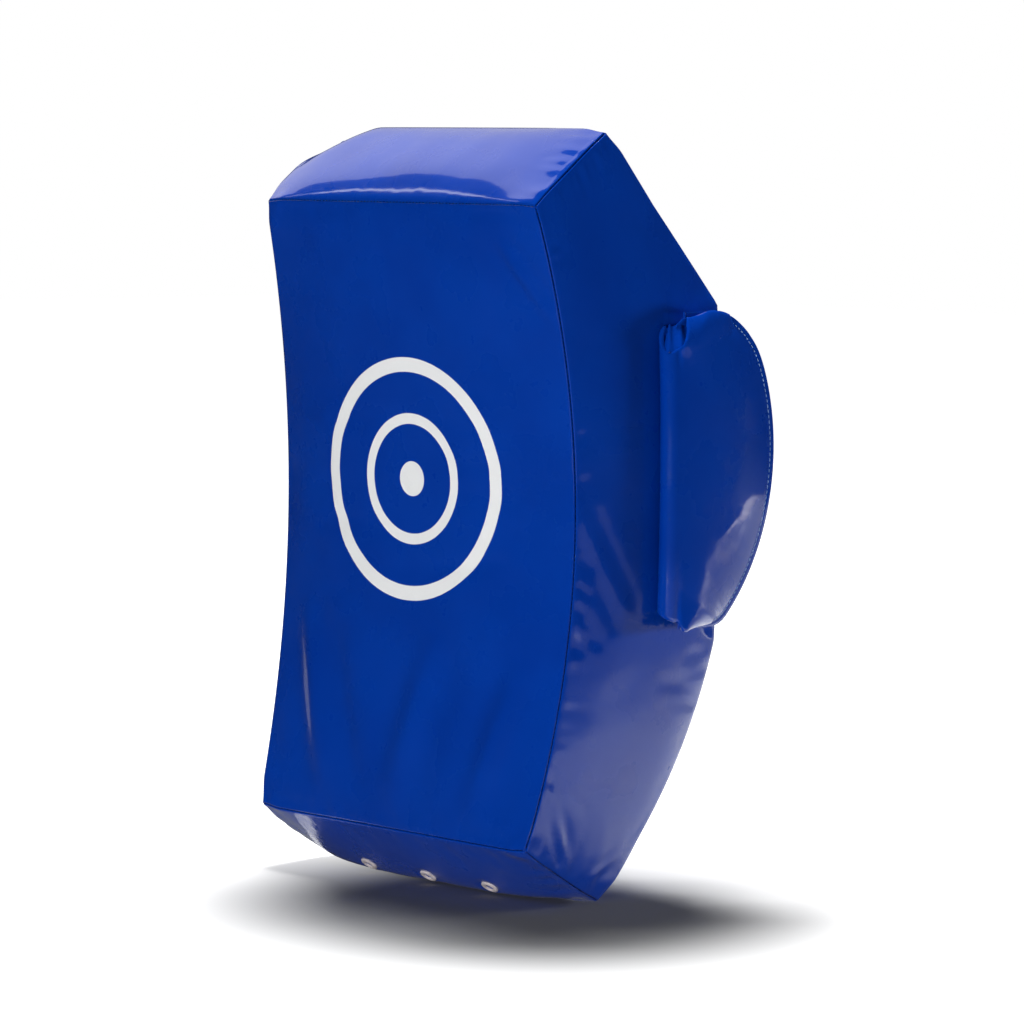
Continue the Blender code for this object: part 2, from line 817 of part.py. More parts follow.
def wing(side, prefix):
    """One padded wing: rolled outer cover, inner cover, foam, and its sewn-on tape."""
    last = range(WING_ROWS + 1)
    outer = sheet(prefix + "_wing_outer_cover", [outer_row(r) for r in last], side, 1.0, COATED_BLUE)
    inner = sheet(prefix + "_wing_inner_cover", [inner_row(r) for r in last], side, -1.0, COATED_BLUE)
    sections = []
    for row in range(1, WING_ROWS):
        sections.append([world(x * side, point) for x, point in wing_pad_section(row)])
    pad = add_part(prefix + "_wing_pad", loft(sections), SOFT_FOAM)
    strip_rows = []
    for row in last:
        height = wing_front_height(row)
        ends = (WING_AXIS, WING_AXIS + WING_TAPE)
        strip_rows.append([(side_surface(y, height) + CLEARANCE + COVER, Vector((y, height))) for y in ends])
    sheet(prefix + "_wing_tape", strip_rows, side, 1.0, COATED_BLUE)
    pivot = Vector((side * WING_PIVOT.x, WING_PIVOT.y, WING_PIVOT.z))
    for moving in (outer, inner, pad):
        hang(moving, pivot)


wing(1.0, "right")
wing(-1.0, "left")

# Handles

FLAT_MIDDLE = (FLAT_BACK_TOP + FLAT_BACK_BOTTOM) / 2.0
BACK_FACE = BACK_DEPTH + BACK_RISE
SEWN_HEIGHT = COVER + 2.0 * CLEARANCE + STRAP / 2.0


def strap_height(along):
    """The strap's middle above the back panel, at a distance from the handle's middle."""
    share = min(1.0, max(0.0, (abs(along) - LOOP_RUN) / (TAB_RUN - LOOP_RUN)))
    fall = share * share * (3.0 - 2.0 * share)
    return HANDLE_STANDOFF + (SEWN_HEIGHT - HANDLE_STANDOFF) * fall


def strap_section(x, along):
    """A level cut through the strap, as four corners."""
    step = CLEARANCE
    slope = (strap_height(along + step) - strap_height(along - step)) / (2.0 * step)
    half = STRAP / 2.0 * math.sqrt(1.0 + slope * slope)
    middle = strap_height(along)
    share = (middle - SEWN_HEIGHT) / (HANDLE_STANDOFF - SEWN_HEIGHT)
    wide = (STRAP_WIDTH + (STRAP_GRIP_WIDTH - STRAP_WIDTH) * share) / 2.0
    corners = ((-wide, -half), (wide, -half), (wide, half), (-wide, half))
    level = FLAT_MIDDLE + along
    return [world(x + across, Vector((BACK_FACE + middle + out, level))) for across, out in corners]


def strap_piece(name, x, stations):
    return add_part(name, loft([strap_section(x, along) for along in stations]), BLACK_WEBBING)


STRAP_CUT = LOOP_RUN + (TAB_RUN - LOOP_RUN) * STRAP_CUT_share
HANDLE_AXIS_HEIGHT = strap_height(STRAP_CUT)


def spread(start, end, count):
    return [start + (end - start) * share for share in even(count)]


def handle_grip(name, x):
    """An oval rubber sleeve on the strap, with a slot that the strap runs through."""
    bm = bmesh.new()
    bmesh.ops.create_cone(bm, cap_ends=True, segments=ROUND_STEPS, radius1=0.5, radius2=0.5, depth=1.0)
    bmesh.ops.scale(bm, vec=(GRIP_WIDTH, GRIP_DEPTH, GRIP_LENGTH), verts=bm.verts)
    centre = world(x, Vector((BACK_FACE + HANDLE_STANDOFF, FLAT_MIDDLE)))
    bmesh.ops.translate(bm, vec=centre, verts=bm.verts)
    grip = add_part(name, bm, BLACK_RUBBER)
    rounding = grip.modifiers.new("rounded_ends", "BEVEL")
    rounding.width = STRAP
    rounding.segments = 2
    rounding.limit_method = "ANGLE"
    rounding.angle_limit = math.radians(60.0)
    slot_size = (STRAP_GRIP_WIDTH + 2.0 * CLEARANCE, STRAP + 2.0 * CLEARANCE, GRIP_LENGTH + OVERRUN)
    slot = cutter(name + "_slot", box_mesh(slot_size, centre))
    boolean(grip, slot, "DIFFERENCE")
    return grip


def handle_patch(name, x, way):
    """A sewn patch between the back panel and the end of the strap."""
    bm = box_mesh((PATCH_WIDTH, COVER, PATCH_HEIGHT))
    upright = [edge for edge in bm.edges if abs((edge.verts[0].co - edge.verts[1].co).y) > COVER / 2.0]
    bmesh.ops.bevel(bm, geom=upright, offset=PATCH_RADIUS, segments=3, profile=0.5, affect="EDGES",
                    material=-1, clamp_overlap=True)
    level = FLAT_MIDDLE + way * (HANDLE_LENGTH / 2.0 - PATCH_HEIGHT / 2.0 + PATCH_RADIUS)
    centre = world(x, Vector((BACK_FACE + CLEARANCE + COVER / 2.0, level)))
    bmesh.ops.translate(bm, vec=centre, verts=bm.verts)
    return add_part(name, bm, COATED_BLUE)


def handle(side, prefix):
    """One handle: webbing loop, its two sewn ends and their patches, and the grip."""
    x = side * HANDLE_OFFSET
    inner = STRAP_CUT - CLEARANCE / 2.0
    outer = STRAP_CUT + CLEARANCE / 2.0
    fall = spread(-inner, -LOOP_RUN, FLAT_ROWS)
    strap = strap_piece(prefix + "_handle_strap", x, fall + [-along for along in reversed(fall)])
    tab = spread(outer, TAB_RUN, SLOPE_ROWS) + [HANDLE_LENGTH / 2.0]
    strap_piece(prefix + "_handle_upper_end", x, tab)
    strap_piece(prefix + "_handle_lower_end", x, [-along for along in tab])
    handle_patch(prefix + "_handle_upper_patch", x, 1.0)
    handle_patch(prefix + "_handle_lower_patch", x, -1.0)
    grip = handle_grip(prefix + "_handle_grip", x)
    for moving in (strap, grip):
        hang(moving, world(x, Vector((BACK_FACE + HANDLE_AXIS_HEIGHT, FLAT_MIDDLE))))


handle(1.0, "right")
handle(-1.0, "left")

# Zip

ZIP_SINK = COVER + 2.0 * CLEARANCE + TAPE / 2.0


def zip_frame():
    """X along the zip, Y down the back and Z out of it, from the middle of the tapes."""
    point, out = arc_place(EDGES["lower"], (ZIP_HIGH + ZIP_LOW) / 2.0)
    origin = world(0.0, point - ZIP_SINK * out)
    z_axis = Vector((0.0, out.x, out.y))
    x_axis = Vector((1.0, 0.0, 0.0))
    y_axis = z_axis.cross(x_axis)
    frame = Matrix((x_axis, y_axis, z_axis)).transposed().to_4x4()
    frame.translation = origin
    return frame, half_width(point.y)


ZIP_FRAME, ZIP_HALF = zip_frame()
TAPE_HALF = ZIP_HALF - ZIP_END_ROOM
COIL_HALF = ZIP_HALF - COIL_END_ROOM
SLIDER_HEIGHT = COIL_RADIUS + 2.0 * CLEARANCE + SLIDER_PLATE
SLIDER_REST = COIL_HALF - SLIDER_LENGTH / 2.0 - CLEARANCE
BAIL_AXIS = SLIDER_HEIGHT + PULL_WIRE + CLEARANCE + PULL_THICKNESS / 2.0
BAIL_TOP = BAIL_AXIS + PULL_WIRE + CLEARANCE * 2.0 + BAIL_WIRE


def zip_tape(name, way):
    """One woven tape with its coil along the inner edge."""
    inner = COIL_SPLIT / 2.0
    size = (2.0 * TAPE_HALF, TAPE_WIDTH, TAPE)
    tape = add_part(name, box_mesh(size, (0.0, way * (inner + TAPE_WIDTH / 2.0), 0.0), ZIP_FRAME), BLACK_TAPE)
    bm = bmesh.new()
    bmesh.ops.create_cone(bm, cap_ends=True, segments=8, radius1=COIL_RADIUS, radius2=COIL_RADIUS,
                          depth=2.0 * COIL_HALF)
    turn = Matrix.Rotation(math.pi / 2.0, 4, "Y")
    shift = Matrix.Translation((0.0, way * (inner + COIL_RADIUS), 0.0))
    bmesh.ops.transform(bm, matrix=ZIP_FRAME @ shift @ turn, verts=bm.verts)
    coil = cutter(name + "_coil", bm)
    boolean(tape, coil, "UNION")
    return tape


def slotted_block(name, length, width, plate, centre_x, web, finish):
    """Two plates joined by a web, with room between them for the tapes."""
    height = 2.0 * (COIL_RADIUS + 2.0 * CLEARANCE + plate)
    block = add_part(name, box_mesh((length, width, height), (centre_x, 0.0, 0.0), ZIP_FRAME), finish)
    for way in (1.0, -1.0):
        start = web / 2.0
        gap = (length + OVERRUN, width, TAPE + 4.0 * CLEARANCE)
        tool = box_mesh(gap, (centre_x, way * (start + width / 2.0), 0.0), ZIP_FRAME)
        boolean(block, cutter(name + ("_slot_low" if way > 0 else "_slot_high"), tool), "DIFFERENCE")
    return block


def zip_stop(name, way):
    """A moulded stop beside the last turn of the coil."""
    centre_x = way * (COIL_HALF + CLEARANCE + STOP_LENGTH / 2.0)
    return slotted_block(name, STOP_LENGTH, STOP_WIDTH, 0.0, centre_x, COIL_SPLIT - 2.0 * CLEARANCE, BLACK_TAPE)


def zip_slider(name):
    """Plates above and below the coils, the post between them, and the arch for the pull."""
    web = SLIDER_POST
    block = slotted_block(name, SLIDER_LENGTH, SLIDER_WIDTH, SLIDER_PLATE, SLIDER_REST, web, ZIP_METAL)
    channel = COIL_RADIUS * 2.0 + 2.0 * CLEARANCE
    height = 2.0 * (COIL_RADIUS + 2.0 * CLEARANCE)
    for way in (1.0, -1.0):
        place = (SLIDER_REST, way * (web / 2.0 + channel / 2.0), 0.0)
        tool = box_mesh((SLIDER_LENGTH + OVERRUN, channel, height), place, ZIP_FRAME)
        boolean(block, cutter(name + ("_channel_low" if way > 0 else "_channel_high"), tool), "DIFFERENCE")
    arch_height = BAIL_TOP - SLIDER_HEIGHT + CLEARANCE
    arch_middle = SLIDER_HEIGHT - CLEARANCE + arch_height / 2.0
    arch = cutter(name + "_arch", box_mesh((BAIL_LENGTH, BAIL_WIDTH, arch_height),
                                           (SLIDER_REST, 0.0, arch_middle), ZIP_FRAME))
    hole_height = BAIL_TOP - BAIL_WIRE - SLIDER_HEIGHT
    hole = cutter(name + "_arch_hole", box_mesh(
        (BAIL_LENGTH - 2.0 * BAIL_WIRE, BAIL_WIDTH + OVERRUN, hole_height),
        (SLIDER_REST, 0.0, SLIDER_HEIGHT + hole_height / 2.0), ZIP_FRAME))
    boolean(arch, hole, "DIFFERENCE")
    boolean(block, arch, "UNION")
    return block


def zip_pull(name):
    """A pull tab whose cross wire runs under the slider's arch; it lies along the tape."""
    arm = BAIL_WIDTH / 2.0 + 2.0 * CLEARANCE
    plate_start = BAIL_LENGTH / 2.0 + 4.0 * CLEARANCE
    thick = PULL_THICKNESS
    pin = SLIDER_REST
    inside = (2.0 * arm + 2.0 * PULL_WIRE) / 2.0
    tab = add_part(name, box_mesh((PULL_LENGTH, PULL_WIDTH, thick),
                                  (pin - PULL_LENGTH / 2.0 + PULL_WIRE, 0.0, BAIL_AXIS), ZIP_FRAME), ZIP_METAL)
    window_length = plate_start - PULL_WIRE
    window = cutter(name + "_window", box_mesh((window_length, 2.0 * arm, thick + OVERRUN),
                                               (pin - PULL_WIRE - window_length / 2.0, 0.0, BAIL_AXIS), ZIP_FRAME))
    boolean(tab, window, "DIFFERENCE")
    trim = PULL_WIDTH / 2.0 - inside
    for way in (1.0, -1.0):
        side = cutter(name + ("_trim_low" if way > 0 else "_trim_high"), box_mesh(
            (plate_start + OVERRUN, trim + OVERRUN, thick + OVERRUN),
            (pin - plate_start + (plate_start + OVERRUN) / 2.0, way * (inside + (trim + OVERRUN) / 2.0), BAIL_AXIS),
            ZIP_FRAME))
        boolean(tab, side, "DIFFERENCE")
    return tab


zip_tape("zip_tape_upper", -1.0)
zip_tape("zip_tape_lower", 1.0)
zip_stop("zip_stop_right", 1.0)
zip_stop("zip_stop_left", -1.0)
hang(zip_slider("zip_slider"), ZIP_FRAME @ Vector((SLIDER_REST, 0.0, 0.0)))
hang(zip_pull("zip_pull"), ZIP_FRAME @ Vector((SLIDER_REST, 0.0, BAIL_AXIS)))

# The back foam has a shallow relief, in which the tapes and the slider lie.
relief_depth = 2.0 * SLIDER_HEIGHT
relief = cutter("zip_relief", box_mesh(
    (2.0 * ZIP_HALF + OVERRUN, 2.0 * (TAPE_WIDTH + COIL_SPLIT), relief_depth + ZIP_SINK),
    (0.0, 0.0, (ZIP_SINK - relief_depth) / 2.0 + SLIDER_HEIGHT - CLEARANCE), ZIP_FRAME))
boolean(back_foam, relief, "DIFFERENCE")

# Eyelets


def eyelet_frames():
    """Where each eyelet sits on the bottom panel: Z out of the panel."""
    bpy.context.view_layer.update()
    graph = bpy.context.evaluated_depsgraph_get()
    tree = BVHTree.FromObject(bottom_panel, graph)
    low, out = arc_place(EDGES["bottom"], 1.0 - EYELET_PLACE_share)
    frames = []
    for k in (-1, 0, 1):
        start = world(k * EYELET_SPACING, low + 2.0 * END_CROWN * out)
        hit, normal, _index, _distance = tree.ray_cast(start, world(0.0, low) - world(0.0, low + out))
        frame = UP.rotation_difference(normal).to_matrix().to_4x4()
        frame.translation = hit
        frames.append(frame)
    return frames


def turned(name, profile, frame, finish):
    """A ring turned from a closed profile of (radius, height) points."""
    bm = bmesh.new()
    verts = [bm.verts.new((radius, 0.0, height)) for radius, height in profile]
    edges = [bm.edges.new((a, b)) for a, b in zip(verts, verts[1:] + verts[:1])]
    bmesh.ops.spin(bm, geom=verts + edges, cent=(0.0, 0.0, 0.0), axis=UP, angle=2.0 * math.pi,
                   steps=ROUND_STEPS, use_merge=True)
    bmesh.ops.remove_doubles(bm, verts=bm.verts, dist=CLEARANCE / 10.0)
    bmesh.ops.recalc_face_normals(bm, faces=bm.faces)
    bmesh.ops.transform(bm, matrix=frame, verts=bm.verts)
    made = add_part(name, bm, finish)
    return made


def round_tool(name, radius, low, high, frame):
    bm = bmesh.new()
    bmesh.ops.create_cone(bm, cap_ends=True, segments=ROUND_STEPS, radius1=radius, radius2=radius,
                          depth=high - low)
    bmesh.ops.translate(bm, vec=(0.0, 0.0, (high + low) / 2.0), verts=bm.verts)
    bmesh.ops.transform(bm, matrix=frame, verts=bm.verts)
    return cutter(name, bm)


def eyelet(label, frame):
    """A flanged eyelet set through the panel over a washer on the inside."""
    barrel = EYELET_BORE + EYELET_WALL
    seat = CLEARANCE
    under = -(COVER + CLEARANCE + WASHER + CLEARANCE)
    flare = barrel + EYELET_WALL * 2.0
    profile = [
        (EYELET_BORE, seat + EYELET_RIM * 0.6),
        (EYELET_BORE + EYELET_RIM * 0.6, seat + EYELET_RIM),
        (EYELET_FLANGE - EYELET_RIM, seat + EYELET_RIM),
        (EYELET_FLANGE, seat + EYELET_WALL / 2.0),
        (EYELET_FLANGE, seat),
        (barrel, seat),
        (barrel, under),
        (flare, under),
        (flare, under - EYELET_WALL),
        (EYELET_BORE, under - EYELET_WALL),
    ]
    turned("eyelet_" + label, profile, frame, EYELET_METAL)
    hole = barrel + CLEARANCE
    top = -(COVER + CLEARANCE)
    ring = [(hole, top), (WASHER_RADIUS, top), (WASHER_RADIUS, top - WASHER), (hole, top - WASHER)]
    turned("eyelet_washer_" + label, ring, frame, EYELET_METAL)
    boolean(bottom_panel, round_tool("eyelet_hole_" + label, hole, -OVERRUN, OVERRUN, frame), "DIFFERENCE")
    pocket = under - EYELET_WALL - CLEARANCE
    tool = round_tool("eyelet_pocket_" + label, WASHER_RADIUS + CLEARANCE, pocket, OVERRUN, frame)
    for foam in (core_foam, strike_foam):
        boolean(foam, tool, "DIFFERENCE")


EYELETS = eyelet_frames()
for label, frame in zip(("left", "middle", "right"), EYELETS):
    eyelet(label, frame)
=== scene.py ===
import math

import bmesh
import bpy
import numpy as np
from mathutils import Matrix, Vector, noise


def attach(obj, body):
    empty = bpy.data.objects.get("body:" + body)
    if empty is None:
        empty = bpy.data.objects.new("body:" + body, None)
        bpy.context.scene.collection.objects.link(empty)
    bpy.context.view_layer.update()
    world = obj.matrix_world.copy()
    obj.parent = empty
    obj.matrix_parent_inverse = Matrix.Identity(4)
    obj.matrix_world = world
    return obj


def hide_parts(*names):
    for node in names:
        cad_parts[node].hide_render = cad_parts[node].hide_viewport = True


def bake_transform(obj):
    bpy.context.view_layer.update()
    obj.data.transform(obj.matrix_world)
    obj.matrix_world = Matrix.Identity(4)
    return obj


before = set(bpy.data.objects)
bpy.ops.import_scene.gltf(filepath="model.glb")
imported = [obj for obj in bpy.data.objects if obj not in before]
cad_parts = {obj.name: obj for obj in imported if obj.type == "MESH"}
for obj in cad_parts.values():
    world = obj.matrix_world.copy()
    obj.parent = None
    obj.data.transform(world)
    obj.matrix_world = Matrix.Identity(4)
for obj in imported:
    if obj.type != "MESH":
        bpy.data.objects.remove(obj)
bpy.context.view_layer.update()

# Coated fabric: polyester cloth with a glossy blue vinyl face, which every panel
# and both wings are cut from. A faint weave shows through the vinyl, and its gloss
# varies a little where it has been handled.

WEAVE_PITCH = 0.0011
VINYL_BLUE = (0.0002, 0.039, 0.340, 1.0)
VINYL_DEEP = (0.0001, 0.034, 0.310, 1.0)
PRINT_WHITE = (0.86, 0.87, 0.88, 1.0)
PRINT_EDGE = 0.0004
ONE_RIB = 0.314
ROUGHNESS = (0.24, 0.36)
COAT_ROUGHNESS = 0.075
RIPPLE = 0.0010


def new_material(name):
    """A material with its nodes, its links, its shader and its coordinates."""
    made = bpy.data.materials.new(name)
    made.use_nodes = True
    nodes = made.node_tree.nodes
    places = nodes.new("ShaderNodeTexCoord")
    return made, nodes, made.node_tree.links, nodes["Principled BSDF"], places


def add_math(nodes, links, operation, first, second=None):
    made = nodes.new("ShaderNodeMath")
    made.operation = operation
    for socket, value in zip(made.inputs, (first, second)):
        if isinstance(value, float):
            socket.default_value = value
        elif value is not None:
            links.new(value, socket)
    return made.outputs["Value"]


def add_noise(nodes, links, vector, scale, detail=2.0, rough=0.5):
    made = nodes.new("ShaderNodeTexNoise")
    made.inputs["Scale"].default_value = scale
    made.inputs["Detail"].default_value = detail
    made.inputs["Roughness"].default_value = rough
    links.new(vector, made.inputs["Vector"])
    return made.outputs["Fac"]


def add_range(nodes, links, value, low, high, to_low, to_high):
    made = nodes.new("ShaderNodeMapRange")
    made.interpolation_type = "SMOOTHSTEP"
    made.inputs["From Min"].default_value = low
    made.inputs["From Max"].default_value = high
    made.inputs["To Min"].default_value = to_low
    made.inputs["To Max"].default_value = to_high
    links.new(value, made.inputs["Value"])
    return made.outputs["Result"]


def add_mix(nodes, links, share, first, second):
    made = nodes.new("ShaderNodeMix")
    made.data_type = "RGBA"
    links.new(share, made.inputs["Factor"])
    for socket, value in ((made.inputs["A"], first), (made.inputs["B"], second)):
        if isinstance(value, tuple):
            socket.default_value = value
        else:
            links.new(value, socket)
    return made.outputs["Result"]


def add_weave(nodes, links, vector, pitch, twist=0.0):
    """Crossed threads: the height of two rows of rounded ribs at right angles."""
    place = nodes.new("ShaderNodeMapping")
    place.inputs["Scale"].default_value = (1.0 / pitch, 1.0 / pitch, 1.0 / pitch)
    place.inputs["Rotation"].default_value = (0.0, 0.0, twist)
    links.new(vector, place.inputs["Vector"])
    heights = []
    for direction in ("X", "Y"):
        wave = nodes.new("ShaderNodeTexWave")
        wave.wave_type = "BANDS"
        wave.bands_direction = direction
        wave.inputs["Scale"].default_value = ONE_RIB
        wave.inputs["Distortion"].default_value = 0.0
        links.new(place.outputs["Vector"], wave.inputs["Vector"])
        heights.append(wave.outputs["Fac"])
    return add_math(nodes, links, "MULTIPLY", *heights)


def add_bump(nodes, links, height, distance, strength, before=None):
    made = nodes.new("ShaderNodeBump")
    made.inputs["Distance"].default_value = distance
    made.inputs["Strength"].default_value = strength
    links.new(height, made.inputs["Height"])
    if before is not None:
        links.new(before, made.inputs["Normal"])
    return made.outputs["Normal"]


def ring_print(nodes, links, uv, middle, rings):
    """Where the printed target is: rings round a middle on the panel's own UV map."""
    place = nodes.new("ShaderNodeMapping")
    place.inputs["Location"].default_value = (-middle[0], -middle[1], 0.0)
    links.new(uv, place.inputs["Vector"])
    length = nodes.new("ShaderNodeVectorMath")
    length.operation = "LENGTH"
    links.new(place.outputs["Vector"], length.inputs[0])
    total = None
    for radius, half in rings:
        away = add_math(nodes, links, "SUBTRACT", length.outputs["Value"], radius)
        near = add_math(nodes, links, "ABSOLUTE", away)
        band = add_range(nodes, links, near, half - PRINT_EDGE, half + PRINT_EDGE, 1.0, 0.0)
        total = band if total is None else add_math(nodes, links, "MAXIMUM", total, band)
    return total


def coated_fabric(name, rings=None, middle=(0.0, 0.0)):
    made, nodes, links, shader, places = new_material(name)
    spot = places.outputs["Object"]
    broad = add_range(nodes, links, add_noise(nodes, links, spot, 9.0, 3.0), 0.35, 0.65, 0.0, 1.0)
    tone = add_mix(nodes, links, broad, VINYL_DEEP, VINYL_BLUE)
    if rings:
        printed = ring_print(nodes, links, places.outputs["UV"], middle, rings)
        tone = add_mix(nodes, links, printed, tone, PRINT_WHITE)
    links.new(tone, shader.inputs["Base Color"])
    gloss = add_range(nodes, links, add_noise(nodes, links, spot, 22.0, 4.0), 0.3, 0.7, *ROUGHNESS)
    links.new(gloss, shader.inputs["Roughness"])
    shader.inputs["Specular IOR Level"].default_value = 0.12
    shader.inputs["Coat Weight"].default_value = 1.0
    shader.inputs["Coat Roughness"].default_value = COAT_ROUGHNESS
    weave = add_weave(nodes, links, places.outputs["UV"], WEAVE_PITCH)
    grain = add_noise(nodes, links, spot, 420.0, 2.0)
    ripple = add_noise(nodes, links, spot, 30.0, 1.0)
    first = add_bump(nodes, links, weave, 0.00006, 0.5)
    second = add_bump(nodes, links, grain, 0.00008, 0.35, first)
    third = add_bump(nodes, links, ripple, RIPPLE, 0.22, second)
    links.new(third, shader.inputs["Normal"])
    links.new(add_bump(nodes, links, ripple, RIPPLE, 0.20), shader.inputs["Coat Normal"])
    return made


vinyl = coated_fabric("coated_blue_fabric")
# Radius and half width of each ring, and the middle's height along the panel
PRINT_RINGS = ((0.118, 0.0075), (0.062, 0.0055), (0.0, 0.018))
PRINT_HEIGHT = 0.365
front_vinyl = coated_fabric("coated_blue_fabric_printed", PRINT_RINGS, (0.0, PRINT_HEIGHT))

# Cover panels: eight pieces of coated fabric, sewn inside out and turned, so that each
# seam is a narrow crease between two rolled lips. The foam fills them tightly, the long
# panels crown between their seams, and the cloth puckers where the seams gather it.

FRONT_CHORD = 0.640
FRONT_SAGITTA = 0.050
END_DEPTH = 0.127
TOP_LEAN = math.radians(37.0)
BOTTOM_LEAN = math.radians(30.5)
BACK_DEPTH = 0.260
FLAT_BACK_TOP = 0.220
FLAT_BACK_BOTTOM = -0.125
LOWER_BACK_BOW = 0.020
SEAM_WIDTH = 0.400
SEAM_BOW = 0.0135
ZIP_DROP = 0.040
ZIP_OPENING = 0.014
COVER = 0.0012
MIDDLE = 0.1595
LIP = 0.0013
SEAM_GAP = 0.0004
HEM = 0.004
LIP_REACH_MOST = 0.0062
LIP_TURNS = (35.0, 72.0)
STEP_IN = 2e-3
SMALL = 1e-4
NEAR_SEAM = (0.0068, 0.0090, 0.0120, 0.0155)
CELL = 0.0045
SIM_CELL = 0.0095
SIM_FRAMES = 20
SIM_SETTINGS = {
    "quality": 6,
    "mass": 0.5,
    "tension_stiffness": 30.0,
    "compression_stiffness": 30.0,
    "shear_stiffness": 20.0,
    "bending_stiffness": 1.5,
    "air_damping": 2.0,
    "use_pressure": True,
    "vertex_group_mass": "seams",
}
SHIELD_MIDDLE = (0.0, 0.0, 0.39)
FLOOR_GAP = 0.0004
PANEL_DENTS = 0.0016
DENT_MARGIN = 0.035


def body_edges():
    half = FRONT_CHORD / 2.0
    top_back = (END_DEPTH * math.cos(TOP_LEAN), half + END_DEPTH * math.sin(TOP_LEAN))
    low_back = (END_DEPTH * math.cos(BOTTOM_LEAN), -half - END_DEPTH * math.sin(BOTTOM_LEAN))
    return {
        "front": ((0.0, -half), (0.0, half), -FRONT_SAGITTA),
        "top": ((0.0, half), top_back, 0.0),
        "slope": (top_back, (BACK_DEPTH, FLAT_BACK_TOP), 0.0),
        "flat": ((BACK_DEPTH, FLAT_BACK_TOP), (BACK_DEPTH, FLAT_BACK_BOTTOM), 0.0),
        "lower": ((BACK_DEPTH, FLAT_BACK_BOTTOM), low_back, LOWER_BACK_BOW),
        "bottom": (low_back, (0.0, -half), 0.0),
    }


EDGES = body_edges()
BASE = EDGES["bottom"][0][1]
TALL = EDGES["slope"][0][1] - BASE


def edge_length(name):
    start, end, bow = EDGES[name]
    chord = math.dist(start, end)
    half = 2.0 * math.atan(2.0 * abs(bow) / chord)
    return chord * half / math.sin(half) if bow else chord


def along_edge(name, share):
    """(y, z) places in the side outline and outward normals, at shares of one edge."""
    start, end, bow = (np.array(item) for item in EDGES[name])
    share = np.asarray(share, float)[..., None]
    chord = np.linalg.norm(end - start)
    along = (end - start) / chord
    out = np.array((-along[1], along[0]))
    if not bow:
        return start + (end - start) * share, out + 0.0 * share
    half = 2.0 * math.atan(2.0 * float(bow) / chord)
    radius = chord / (2.0 * math.sin(half))
    angle = half * (2.0 * share - 1.0)
    rise = np.cos(angle) - math.cos(half)
    place = (start + end) / 2.0 + radius * (np.sin(angle) * along + rise * out)
    return place, np.sin(angle) * along + np.cos(angle) * out


def half_width(height):
    share = height / (FRONT_CHORD / 2.0)
    return SEAM_WIDTH / 2.0 + SEAM_BOW * np.maximum(0.0, 1.0 - share * share)


def bump(share, power):
    return 1.0 - np.abs(share) ** power


def in_frame(x, place):
    return np.stack((x + 0.0 * place[..., 0], place[..., 0] - MIDDLE, place[..., 1] - BASE), axis=-1)


def up_share(share):
    """The crown's own scale of height, closer together over the flat back."""
    low = (FLAT_BACK_BOTTOM - BASE) / TALL
    high = (FLAT_BACK_TOP - BASE) / TALL
    return np.interp(share, (0.0, low, high, 1.0), (0.0, 0.4375, 0.75, 1.0))


ZIP_START = ZIP_DROP / edge_length("lower")
ZIP_END = (ZIP_DROP + ZIP_OPENING) / edge_length("lower")
FRONT_EASE = 0.4
# The bottom's slope off the floor, its lift at the front seam, its crown and their blend
BOTTOM_FOOT = 0.0735
BOTTOM_LIFT = 0.0233
BOTTOM_CROWN = 0.014
BOTTOM_BLEND = 0.003
FLAT_RISE = 0.0006
FLAT_FADE = 0.14
# Each panel's edges with their shares, its crown and the power of its fall, and the
# edges that it meets at its start and end
CROSS_PANELS = {
    "front_panel": ((("front", 0.0, 1.0),), 0.020, 4.0, "bottom", "top"),
    "top_panel": ((("top", 0.0, 1.0),), 0.014, 2.5, "front", "slope"),
    "upper_back_panel": ((("slope", 0.0, 1.0),), 0.008, 4.0, "top", "flat"),
    "back_panel": ((("flat", 0.0, 1.0), ("lower", 0.0, ZIP_START)), 0.0, 4.0, "slope", None),
    "lower_back_panel": ((("lower", ZIP_END, 1.0),), 0.0, 4.0, None, "bottom"),
    "bottom_panel": ((("bottom", 0.0, 1.0),), 0.014, 2.5, "lower", "front"),
}


def chain_lengths(spans):
    return np.array([edge_length(edge) * (stop - start) for edge, start, stop in spans])


def chain_place(spans, share):
    """Places and normals along one or more edges that make up a panel's length."""
    lengths = chain_lengths(spans)
    marks = np.concatenate(((0.0,), np.cumsum(lengths))) / lengths.sum()
    place = np.zeros(np.shape(share) + (2,))
    normal = np.zeros_like(place)
    for k, (edge, start, stop) in enumerate(spans):
        own = (share - marks[k]) / (marks[k + 1] - marks[k])
        inside = (share >= marks[k]) if k else np.ones(np.shape(share), bool)
        got, out = along_edge(edge, start + (stop - start) * own)
        place[inside] = got[inside]
        normal[inside] = out[inside]
    return place, normal


